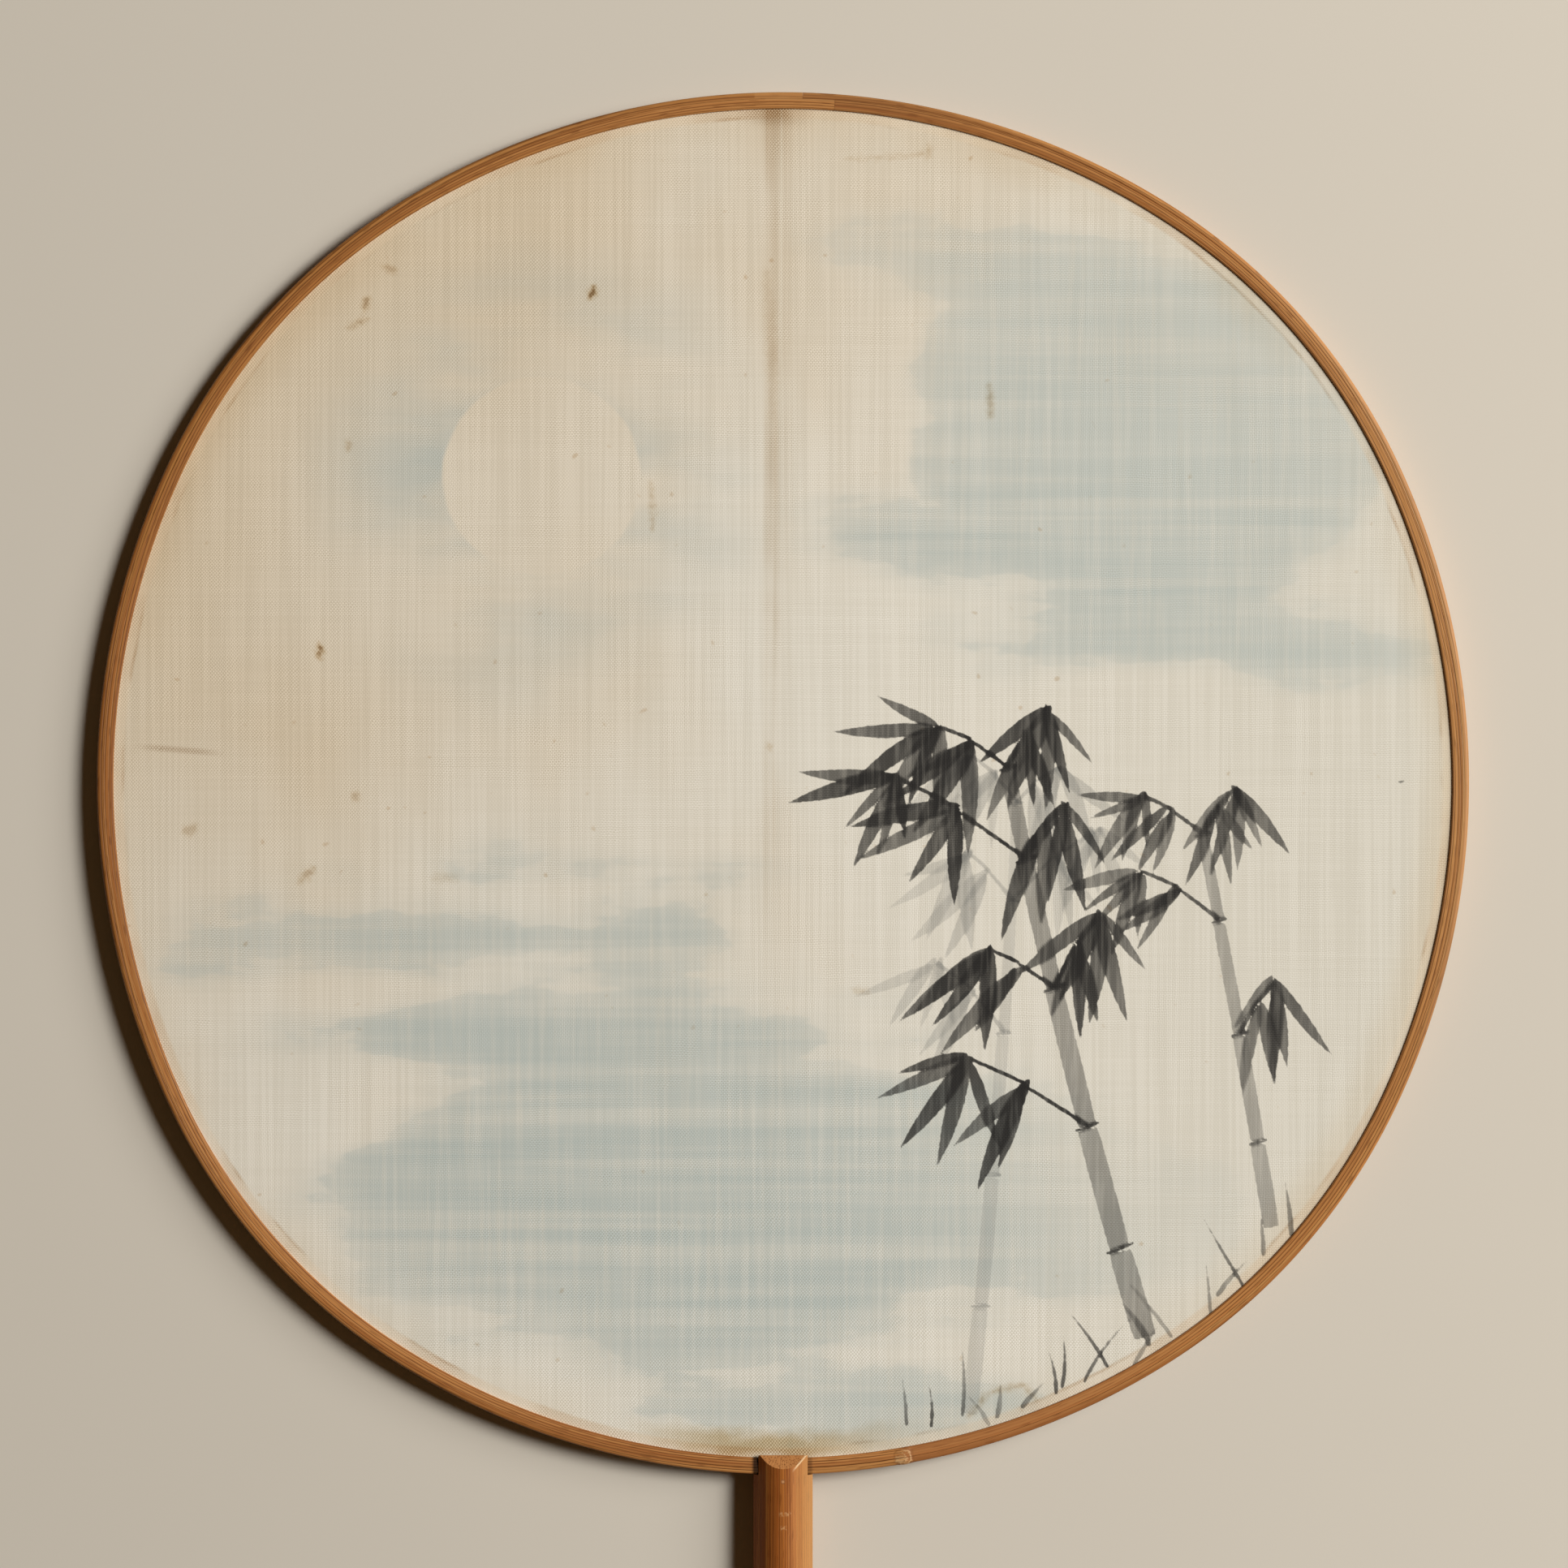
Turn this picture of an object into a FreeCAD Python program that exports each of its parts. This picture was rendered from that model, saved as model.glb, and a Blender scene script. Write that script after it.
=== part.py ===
import FreeCAD, Part
import math
import os

import Sketcher

# Round hand fan: silk stretched in a bent bamboo hoop, with a spine behind the silk and a forked
# bamboo handle. The fan lies face up: +Z is the front of the silk, +Y points to the top of the
# face and the handle runs along -Y. The origin is under the middle of the fan, on the surface
# that the back of the handle lies on. Every body is drawn about the middle of the hoop.

Vector = FreeCAD.Vector
doc = FreeCAD.newDocument("round_fan")

# Driving sizes in millimetres: alias, value, meaning.
SIZES = (
    ("face_width", 250.0, "hoop, outside, left to right"),
    ("face_height", 251.8, "hoop, outside, top to bottom"),
    ("shoulder_inset", 13.0, "how much tighter the four shoulders are bent than half the face"),
    ("side_bow", 2.3, "bow of the left and right runs between the shoulders"),
    ("top_bow", 3.2, "bow of the top and bottom runs between the shoulders"),
    ("rim_depth", 4.0, "hoop, front to back"),
    ("band_thickness", 1.1, "outer strip, across the hoop"),
    ("bead_width", 1.8, "front strip that covers the edge of the silk"),
    ("bead_depth", 0.9, "front strip, front to back"),
    ("ledge_width", 1.8, "how far the stretcher hoop reaches inside the front strip"),
    ("eased_arris", 0.25, "narrow flat along the strips' sharp edges"),
    ("shoulder_flat", 0.7, "wider slanted flat along the outer strip's front, outside edge"),
    ("glue_gap", 0.1, "glue line between the bent strips"),
    ("butt_gap", 0.12, "glue line between the two ends of a bent strip"),
    ("band_butt", 3.6, "band's butt, right of the top"),
    ("bead_butt", 9.5, "front strip's butt, right of the top"),
    ("stretcher_butt", 14.0, "stretcher hoop's butt, left of the top"),
    ("silk_thickness", 0.15, "sized silk"),
    ("spine_thickness", 1.8, "spine, front to back"),
    ("spine_tip_width", 3.2, "spine at the top of the face"),
    ("spine_root_width", 4.4, "spine at the bottom of the face, and its tang"),
    ("tip_seat", 1.6, "how far the spine's tip is let into the stretcher hoop"),
    ("tang_length", 22.0, "tang below the hoop"),
    ("fit_gap", 0.1, "slack round the tang, the tip and the hoop where they seat"),
    ("handle_drop", 143.2, "handle below the hoop"),
    ("handle_width", 10.8, "handle, side to side"),
    ("handle_depth", 9.2, "handle, front to back"),
    ("handle_flat", 3.7, "flat down the middle of the handle's front and back"),
    ("facet_drop", 2.9, "fall of the slanted facets from that flat to the handle's sides"),
    ("handle_round", 0.8, "rounding of the handle's arrises and lower end"),
    ("cheek_lap", 0.6, "how far the cheeks reach in past the hoop, over the silk"),
    ("bevel_length", 2.2, "slanted end of each cheek, along the handle"),
    ("bevel_drop", 2.2, "slanted end of each cheek, front to back"),
    ("peg_diameter", 0.8, "bamboo pin through handle and tang"),
    ("peg_inset", 0.9, "pin below the hoop"),
    ("peg_gap", 0.02, "slack round the pin"),
    ("hang_diameter", 3.0, "hanging hole"),
    ("hang_inset", 10.0, "hanging hole above the handle's lower end"),
)

# Sizes and levels that follow from the driving sizes.
LAYOUT = (
    ("half_width", "size.face_width / 2"),
    ("half_height", "size.face_height / 2"),
    ("shoulder_radius", "min(half_width; half_height) - size.shoulder_inset"),
    ("shoulder_across", "half_width - shoulder_radius - size.side_bow"),
    ("shoulder_up", "half_height - shoulder_radius - size.top_bow"),
    ("side_radius", "shoulder_radius + size.side_bow / 2 + shoulder_up ^ 2 / (2 * size.side_bow)"),
    ("top_radius", "shoulder_radius + size.top_bow / 2 + shoulder_across ^ 2 / (2 * size.top_bow)"),
    ("side_centre", "side_radius - half_width"),
    ("top_centre", "top_radius - half_height"),
    ("strip_seat", "size.band_thickness + size.glue_gap"),
    ("rim_width", "strip_seat + size.bead_width"),
    ("ledge_inset", "rim_width + size.ledge_width"),
    ("rim_back", "(size.handle_depth - size.rim_depth) / 2"),
    ("silk_front", "rim_back + size.rim_depth - size.bead_depth"),
    ("silk_back", "silk_front - size.silk_thickness"),
    ("spine_back", "silk_back - size.spine_thickness"),
    ("cheek_end", "half_height - rim_width - size.cheek_lap"),
    ("tip_end", "half_height - ledge_inset + size.tip_seat"),
    ("tang_end", "half_height + size.tang_length"),
    ("handle_end", "half_height + size.handle_drop"),
    ("peg_place", "half_height + size.peg_inset"),
    ("hang_place", "handle_end - size.hang_inset"),
    ("arris_round", "min(size.handle_round; size.handle_flat * 0.4; size.facet_drop * 0.4)"),
    ("arris_flat", "min(size.eased_arris; size.band_thickness * 0.4; size.bead_depth * 0.4)"),
    ("band_flat", "min(size.shoulder_flat; size.band_thickness * 0.7; size.rim_depth * 0.4)"),
)

size = doc.addObject("Spreadsheet::Sheet", "size")
for row, (alias, number, meaning) in enumerate(SIZES, start=1):
    size.set(f"A{row}", meaning)
    size.set(f"B{row}", str(number))
    size.setAlias(f"B{row}", alias)

layout = doc.addObject("Spreadsheet::Sheet", "layout")
for row, (alias, formula) in enumerate(LAYOUT, start=1):
    layout.set(f"B{row}", "=" + formula)
    layout.setAlias(f"B{row}", alias)
doc.recompute()


def value(expression):
    """The present value of an expression on the two sheets."""
    return float(size.evalExpression(expression))


def new_body(name):
    """A body whose middle is the middle of the hoop, half the handle's drop above the origin."""
    body = doc.addObject("PartDesign::Body", name)
    body.Label = name
    body.setExpression("Placement.Base.y", "size.handle_drop / 2")
    return body


def new_sketch(body, name, plane="XY_Plane", height="0"):
    """A sketch on one of the body's own planes, raised along the plane's normal."""
    sketch = body.newObject("Sketcher::SketchObject", name)
    support = next(feature for feature in body.Origin.OriginFeatures if feature.Role == plane)
    sketch.AttachmentSupport = (support, [""])
    sketch.MapMode = "FlatFace"
    sketch.setExpression("AttachmentOffset.Base.z", height)
    return sketch


def bind(sketch, constraint, expression):
    """Adds a dimension and ties it to the sheets."""
    index = sketch.addConstraint(constraint)
    sketch.setExpression(f"Constraints[{index}]", expression)


def place(sketch, geometry, point, direction, expression):
    """Puts a point of the sketch at a coordinate measured from the sketch's origin."""
    distance = value(expression)
    if distance >= 0:
        bind(sketch, Sketcher.Constraint(direction, -1, 1, geometry, point, distance), expression)
    else:
        bind(sketch, Sketcher.Constraint(direction, geometry, point, -1, 1, -distance), f"-({expression})")


def draw_polygon(sketch, corners):
    """A closed outline of straight lines; each corner is a pair of expressions."""
    points = [Vector(value(across), value(up), 0) for across, up in corners]
    lines = []
    for index, point in enumerate(points):
        lines.append(sketch.addGeometry(Part.LineSegment(point, points[(index + 1) % len(points)]), False))
    for index, (across, up) in enumerate(corners):
        sketch.addConstraint(Sketcher.Constraint("Coincident", lines[index - 1], 2, lines[index], 1))
        place(sketch, lines[index], 1, "DistanceX", across)
        place(sketch, lines[index], 1, "DistanceY", up)


def draw_circle(sketch, up, radius):
    """A circle on the sketch's upright axis."""
    centre = Vector(0, value(up), 0)
    circle = sketch.addGeometry(Part.Circle(centre, Vector(0, 0, 1), value(radius)), False)
    sketch.addConstraint(Sketcher.Constraint("PointOnObject", circle, 3, -2))
    place(sketch, circle, 3, "DistanceY", up)
    bind(sketch, Sketcher.Constraint("Radius", circle, value(radius)), radius)


def draw_hoop(sketch, inset):
    """The hand-bent round of the hoop, drawn in by an inset: flat runs and tighter shoulders.

    Four long arcs cross the axes and four shoulder arcs join them, all tangent."""
    side_tilt = math.atan2(layout.shoulder_up, layout.shoulder_across + layout.side_centre)
    top_tilt = math.atan2(layout.shoulder_up + layout.top_centre, layout.shoulder_across)
    half_turn = math.pi
    right, top = -layout.side_centre, -layout.top_centre
    across, up = layout.shoulder_across, layout.shoulder_up
    arcs = (
        (right, 0, "side_radius", -side_tilt, side_tilt),
        (across, up, "shoulder_radius", side_tilt, top_tilt),
        (0, top, "top_radius", top_tilt, half_turn - top_tilt),
        (-across, up, "shoulder_radius", half_turn - top_tilt, half_turn - side_tilt),
        (-right, 0, "side_radius", half_turn - side_tilt, half_turn + side_tilt),
        (-across, -up, "shoulder_radius", half_turn + side_tilt, half_turn + top_tilt),
        (0, -top, "top_radius", half_turn + top_tilt, 2 * half_turn - top_tilt),
        (across, -up, "shoulder_radius", 2 * half_turn - top_tilt, 2 * half_turn - side_tilt),
    )
    drawn = []
    for centre_x, centre_y, radius, start, end in arcs:
        expression = f"layout.{radius} - ({inset})"
        circle = Part.Circle(Vector(centre_x, centre_y, 0), Vector(0, 0, 1), value(expression))
        arc = sketch.addGeometry(Part.ArcOfCircle(circle, start, end), False)
        bind(sketch, Sketcher.Constraint("Radius", arc, value(expression)), expression)
        drawn.append(arc)
    for index, arc in enumerate(drawn):
        sketch.addConstraint(Sketcher.Constraint("Tangent", drawn[index - 1], 2, arc, 1))
    for arc, centre in ((drawn[0], "-layout.side_centre"), (drawn[4], "layout.side_centre")):
        sketch.addConstraint(Sketcher.Constraint("PointOnObject", arc, 3, -1))
        place(sketch, arc, 3, "DistanceX", centre)
    for arc, centre in ((drawn[2], "-layout.top_centre"), (drawn[6], "layout.top_centre")):
        sketch.addConstraint(Sketcher.Constraint("PointOnObject", arc, 3, -2))
        place(sketch, arc, 3, "DistanceY", centre)


def pad(body, name, sketch, length):
    """Raises a sketch along its plane's normal."""
    feature = body.newObject("PartDesign::Pad", name)
    feature.Profile = sketch
    feature.setExpression("Length", length)
    doc.recompute()
    return feature


def pocket(body, name, sketch, depth=None):
    """Cuts a sketch upwards by a depth, or right through both ways, and proves that it cut."""
    volume = body.Shape.Volume
    feature = body.newObject("PartDesign::Pocket", name)
    feature.Profile = sketch
    if depth is None:
        feature.Type = "ThroughAll"
        feature.SideType = "Symmetric"
    else:
        feature.Reversed = True
        feature.setExpression("Length", depth)
    doc.recompute()
    if body.Shape.Volume >= volume:
        raise RuntimeError(f"{name} cuts nothing from {body.Label}")


def picked_edges(body, chosen):
    """The body's last feature, with the names of those of its edges that the function chosen picks."""
    names = [f"Edge{number}" for number, edge in enumerate(body.Shape.Edges, start=1) if chosen(edge)]
    return body.Tip, names


def round_edges(body, name, chosen, radius):
    """Rounds the chosen edges."""
    base = picked_edges(body, chosen)
    feature = body.newObject("PartDesign::Fillet", name)
    feature.Base = base
    feature.setExpression("Radius", radius)
    doc.recompute()


def ease_arris(body, name, chosen, width="layout.arris_flat"):
    """Takes the sharpness off the chosen edges of a bent strip with a slanted flat."""
    base = picked_edges(body, chosen)
    feature = body.newObject("PartDesign::Chamfer", name)
    feature.Base = base
    feature.setExpression("Size", width)
    doc.recompute()


def hoop_face_loop(body, front, outer):
    """Picks the outer or the inner run of edges on a hoop's front or back face."""
    levels = [face.CenterOfMass.z for face in body.Shape.Faces]
    level = max(levels) if front else min(levels)
    face = body.Shape.Faces[levels.index(level)]
    loop = [wire for wire in face.Wires if wire.isSame(face.OuterWire) == outer][0]
    return lambda edge: any(edge.isSame(other) for other in loop.Edges)


def bent_strip(name, outer_inset, inner_inset, back, depth):
    """A hoop of one strip between two insets, before its ends are cut."""
    body = new_body(name)
    section = new_sketch(body, name + "_plan", height=back)
    draw_hoop(section, outer_inset)
    draw_hoop(section, inner_inset)
    pad(body, name + "_strip", section, depth)
    return body


def butt_joint(body, place_right):
    """Parts a bent strip near the top of the face, where its two ends are glued together."""
    kerf = new_sketch(body, body.Name + "_butt_plan")
    left = f"{place_right} - size.butt_gap / 2"
    right = f"{place_right} + size.butt_gap / 2"
    low, high = "layout.half_height / 2", "layout.half_height * 2"
    draw_polygon(kerf, ((left, low), (right, low), (right, high), (left, high)))
    pocket(body, body.Name + "_butt", kerf)


def tang_slot(body, name):
    """The slot, open to the hoop's middle, that the spine's tang passes through."""
    plan = new_sketch(body, name + "_plan", height="layout.spine_back - size.fit_gap")
    half = "size.spine_root_width / 2 + size.fit_gap"
    start = "-(layout.half_height - layout.ledge_inset * 2)"
    end = "-(layout.tang_end + size.fit_gap)"
    draw_polygon(plan, ((f"-({half})", end), (half, end), (half, start), (f"-({half})", start)))
    pocket(body, name, plan, "size.spine_thickness + 2 * size.fit_gap")


def peg_hole(body, name):
    """The hole for the pin, through handle and tang."""
    plan = new_sketch(body, name + "_plan")
    draw_circle(plan, "-layout.peg_place", "size.peg_diameter / 2 + size.peg_gap")
    pocket(body, name, plan)


def make_rim_band():
    """Outer strip of the hoop, sloped off at the front, with the mortise for the tang."""
    band = bent_strip("rim_band", "0", "size.band_thickness", "layout.rim_back", "size.rim_depth")
    ease_arris(band, "rim_band_shoulder", hoop_face_loop(band, front=True, outer=True),
               "layout.band_flat")
    ease_arris(band, "rim_band_back_arris", hoop_face_loop(band, front=False, outer=True))
    tang_slot(band, "rim_band_mortise")
    butt_joint(band, "size.band_butt")
    return band


def make_rim_bead():
    """Front strip inside the band, over the raw edge of the silk."""
    bead = bent_strip("rim_bead", "layout.strip_seat", "layout.rim_width",
                      "layout.silk_front", "size.bead_depth")
    ease_arris(bead, "rim_bead_arris", hoop_face_loop(bead, front=True, outer=False))
    butt_joint(bead, "size.bead_butt")
    return bead


def make_stretcher_hoop():
    """Hoop behind the silk, slotted at the foot for the tang and let in at the top for the tip."""
    hoop = bent_strip("stretcher_hoop", "layout.strip_seat", "layout.ledge_inset",
                      "layout.rim_back", "layout.silk_back - layout.rim_back")
    ease_arris(hoop, "stretcher_hoop_arris", hoop_face_loop(hoop, front=False, outer=False))
    tang_slot(hoop, "stretcher_hoop_slot")
    seat = new_sketch(hoop, "stretcher_hoop_seat_plan", height="layout.spine_back - size.fit_gap")
    half = "size.spine_tip_width / 2 + size.fit_gap"
    low = "layout.half_height - layout.ledge_inset * 2"
    high = "layout.tip_end + size.fit_gap"
    draw_polygon(seat, ((f"-({half})", low), (half, low), (half, high), (f"-({half})", high)))
    pocket(hoop, "stretcher_hoop_seat", seat, "size.spine_thickness + 2 * size.fit_gap")
    butt_joint(hoop, "-size.stretcher_butt")
    return hoop


def make_silk_face():
    """Silk, pasted on the stretcher hoop out to the band and held down by the front strip."""
    silk = new_body("silk_face")
    plan = new_sketch(silk, "silk_face_plan", height="layout.silk_back")
    draw_hoop(plan, "layout.strip_seat")
    pad(silk, "silk_face_sheet", plan, "size.silk_thickness")
    return silk


def make_spine():
    """Tapered slip behind the silk, flush with the stretcher hoop, whose foot is the tang."""
    spine = new_body("spine")
    plan = new_sketch(spine, "spine_plan", height="layout.spine_back")
    tip, root = "size.spine_tip_width / 2", "size.spine_root_width / 2"
    tip_end, tang_end = "layout.tip_end", "-layout.tang_end"
    foot = "-(layout.half_height - layout.ledge_inset)"
    draw_polygon(plan, ((f"-{tip}", tip_end), (f"-{root}", foot), (f"-{root}", tang_end),
                        (root, tang_end), (root, foot), (tip, tip_end)))
    pad(spine, "spine_slip", plan, "size.spine_thickness")
    peg_hole(spine, "spine_peg_hole")
    return spine


def make_handle():
    """Eight-sided bar, forked to grip the hoop, with slanted cheeks, a mortise and a hanging hole."""
    handle = new_body("handle")
    section = new_sketch(handle, "handle_section", "XZ_Plane", "layout.cheek_end")
    half, flat = "size.handle_width / 2", "size.handle_flat / 2"
    low, high = "size.facet_drop", "size.handle_depth - size.facet_drop"
    back, front = "0", "size.handle_depth"
    draw_polygon(section, ((f"-{flat}", back), (flat, back), (half, low), (half, high),
                           (flat, front), (f"-{flat}", front), (f"-{half}", high), (f"-{half}", low)))
    pad(handle, "handle_bar", section, "layout.handle_end - layout.cheek_end")
    cheek_level = handle.Shape.BoundBox.YMax
    round_edges(handle, "handle_arrises", lambda edge: edge.BoundBox.YMin < cheek_level - 1e-6,
                "layout.arris_round")

    fork = new_sketch(handle, "handle_fork_plan", height="layout.rim_back - size.fit_gap")
    draw_circle(fork, "layout.top_centre", "layout.top_radius + size.fit_gap")
    pocket(handle, "handle_fork", fork, "size.rim_depth + 2 * size.fit_gap")

    end, foot = "-layout.cheek_end", "-(layout.cheek_end + size.bevel_length)"
    for side, face, toe in (("front", "size.handle_depth", "size.handle_depth - size.bevel_drop"),
                            ("back", "0", "size.bevel_drop")):
        bevel = new_sketch(handle, f"handle_{side}_bevel_plan", "YZ_Plane")
        draw_polygon(bevel, ((foot, face), (end, face), (end, toe)))
        pocket(handle, f"handle_{side}_bevel", bevel)

    tang_slot(handle, "handle_mortise")
    peg_hole(handle, "handle_peg_hole")
    hang = new_sketch(handle, "handle_hang_plan")
    draw_circle(hang, "-layout.hang_place", "size.hang_diameter / 2")
    pocket(handle, "handle_hang_hole", hang)
    return handle


def make_tang_peg():
    """Bamboo pin, driven in from the front and trimmed flush on both sides of the handle."""
    peg = new_body("tang_peg")
    plan = new_sketch(peg, "tang_peg_plan")
    draw_circle(plan, "-layout.peg_place", "size.peg_diameter / 2")
    pad(peg, "tang_peg_pin", plan, "size.handle_depth")
    return peg


pieces = (make_rim_band(), make_rim_bead(), make_stretcher_hoop(), make_silk_face(),
          make_spine(), make_handle(), make_tang_peg())
doc.recompute()

for item in doc.Objects:
    if "Invalid" in item.State or "Error" in item.State:
        raise RuntimeError(f"{item.Label} failed: {item.State}")
for piece in pieces:
    shape = piece.Shape
    if shape.isNull() or not shape.isValid() or len(shape.Solids) != 1:
        raise RuntimeError(f"{piece.Label} is not one valid solid")

os.makedirs("parts", exist_ok=True)
for piece in pieces:
    piece.Shape.exportStep(f"parts/{piece.Label}.step")
    box = piece.Shape.optimalBoundingBox()
    print(f"{piece.Label}: {piece.Shape.Volume:.1f} mm3, "
          f"x {box.XMin:.2f} to {box.XMax:.2f}, y {box.YMin:.2f} to {box.YMax:.2f}, "
          f"z {box.ZMin:.2f} to {box.ZMax:.2f}")
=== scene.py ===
"""Looks of a rigid round hand fan: silk pasted in a bent bamboo hoop, with a forked handle."""

import math
import random
from collections import namedtuple

import bmesh
import bpy
import numpy as np
from mathutils import Matrix, Vector, noise


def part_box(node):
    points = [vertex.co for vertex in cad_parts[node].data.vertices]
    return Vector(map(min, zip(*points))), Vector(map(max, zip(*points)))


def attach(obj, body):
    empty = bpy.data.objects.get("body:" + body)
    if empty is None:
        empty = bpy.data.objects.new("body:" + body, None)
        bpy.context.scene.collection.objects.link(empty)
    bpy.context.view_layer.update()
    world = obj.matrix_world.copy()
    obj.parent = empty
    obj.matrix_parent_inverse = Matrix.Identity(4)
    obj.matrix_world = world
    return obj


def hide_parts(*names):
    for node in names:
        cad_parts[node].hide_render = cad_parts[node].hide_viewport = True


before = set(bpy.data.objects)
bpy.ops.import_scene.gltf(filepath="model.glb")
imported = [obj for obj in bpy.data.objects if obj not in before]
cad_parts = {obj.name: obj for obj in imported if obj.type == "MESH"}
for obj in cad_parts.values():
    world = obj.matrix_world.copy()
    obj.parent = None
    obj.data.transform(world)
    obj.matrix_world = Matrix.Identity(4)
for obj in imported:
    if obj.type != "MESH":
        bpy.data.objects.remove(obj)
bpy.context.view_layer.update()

# The stretcher hoop: a split strip of pale bamboo, bent round while wet and butted at one point.
# The silk is pasted to its front, and its raw fibres show all the way round at the back.
mm = 0.001
hoop_low, hoop_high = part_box("rim_band")
hoop_middle = (hoop_low + hoop_high) / 2
half_width = (hoop_high.x - hoop_low.x) / 2


def srgb(red, green, blue):
    """A colour as it is seen, from 0 to 255 a channel, in the linear values that shaders take."""
    shares = [channel / 255 for channel in (red, green, blue)]
    linear = [s / 12.92 if s <= 0.04045 else ((s + 0.055) / 1.055) ** 2.4 for s in shares]
    return (*linear, 1.0)


class Wire:
    """A node's output, which can be reckoned with as a number can: each sum adds a Math node."""

    def __init__(self, tree, socket):
        self.tree = tree
        self.socket = socket

    def reckon(self, operation, other=0.0):
        """The result of one Math node on this value and another."""
        return add_node(self.tree, "Math", {0: self, 1: other}, operation=operation)

    def __add__(self, other):
        return self.reckon("ADD", other)

    def __sub__(self, other):
        return self.reckon("SUBTRACT", other)

    def __rsub__(self, other):
        return add_node(self.tree, "Math", {0: other, 1: self}, operation="SUBTRACT")

    def __mul__(self, other):
        return self.reckon("MULTIPLY", other)

    def __truediv__(self, other):
        return self.reckon("DIVIDE", other)

    def __abs__(self):
        return self.reckon("ABSOLUTE")

    __radd__ = __add__
    __rmul__ = __mul__


def set_sockets(tree, node, inputs):
    """Links a node's sockets to their sources, or sets the constants."""
    for name, source in inputs.items():
        if isinstance(source, Wire):
            tree.links.new(source.socket, node.inputs[name])
        else:
            node.inputs[name].default_value = source


def new_node(tree, kind, inputs, **settings):
    """A new shader node with its settings and sockets."""
    node = tree.nodes.new("ShaderNode" + kind)
    for name, setting in settings.items():
        setattr(node, name, setting)
    set_sockets(tree, node, inputs)
    return node


def add_node(tree, kind, inputs, output=0, **settings):
    """One output of a new shader node."""
    return Wire(tree, new_node(tree, kind, inputs, **settings).outputs[output])


def wires_of(tree, node):
    """All outputs of a node, by their names."""
    return {socket.name: Wire(tree, socket) for socket in node.outputs}


def rise_of(value, low, high):
    """A smooth rise from 0 at low to 1 at high; it falls where low is the larger."""
    span = {"Value": value, "From Min": low, "From Max": high}
    return add_node(value.tree, "MapRange", span, interpolation_type="SMOOTHSTEP")


def near_of(value, middle, reach, core=0.0):
    """A smooth hump: 1 within a core round the middle, 0 beyond a reach."""
    return rise_of(abs(value - middle), reach, core)


def mix_of(share, first, second, blend="MIX"):
    """Two colours mixed by a share."""
    sockets = {0: share, 6: first, 7: second}
    return add_node(share.tree, "Mix", sockets, 2, data_type="RGBA", blend_type=blend)


def shade_of(share, colour, by):
    """A colour darkened by another, to a share."""
    return mix_of(share, colour, by, "MULTIPLY")


def noise_of(place, per_metre, detail=2.0):
    """Noise with its own count of features per metre along each axis."""
    spread = add_node(place.tree, "Mapping", {"Vector": place, "Scale": per_metre})
    sockets = {"Vector": spread, "Scale": 1.0, "Detail": detail}
    return add_node(place.tree, "TexNoise", sockets, "Fac")


def wave_of(way, pitch):
    """A cosine along a way, one turn for each pitch."""
    return (way / pitch * (2 * math.pi)).reckon("COSINE")


def parts_of(vector):
    """The three parts of a vector."""
    node = new_node(vector.tree, "SeparateXYZ", {"Vector": vector})
    return [Wire(vector.tree, part) for part in node.outputs]


def vector_of(x, y, z=0.0):
    """A vector from three values."""
    return add_node(x.tree, "CombineXYZ", {"X": x, "Y": y, "Z": z})


def distance_of(x, y):
    """The length of two values at right angles."""
    return (x * x + y * y).reckon("SQRT")


def relief_of(height, depth):
    """A normal from a height in shares of a depth in metres."""
    return add_node(height.tree, "Bump", {"Height": height, "Distance": depth, "Strength": 1.0})


def object_place(tree):
    """The point on the surface, in the part's own frame."""
    return add_node(tree, "TexCoord", {}, "Object")


def new_material(name):
    """An empty procedural material, with its node tree and shader."""
    material = bpy.data.materials.new(name)
    material.use_nodes = True
    return material, material.node_tree, material.node_tree.nodes["Principled BSDF"]


def new_group(name, inputs, outputs):
    """An empty node group with named sockets, what it is given, and the node that it fills."""
    tree = bpy.data.node_groups.new(name, "ShaderNodeTree")
    for way, sockets in (("INPUT", inputs), ("OUTPUT", outputs)):
        for title, kind in sockets.items():
            tree.interface.new_socket(title, in_out=way, socket_type="NodeSocket" + kind)
    given = wires_of(tree, tree.nodes.new("NodeGroupInput"))
    return tree, given, tree.nodes.new("NodeGroupOutput")


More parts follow.
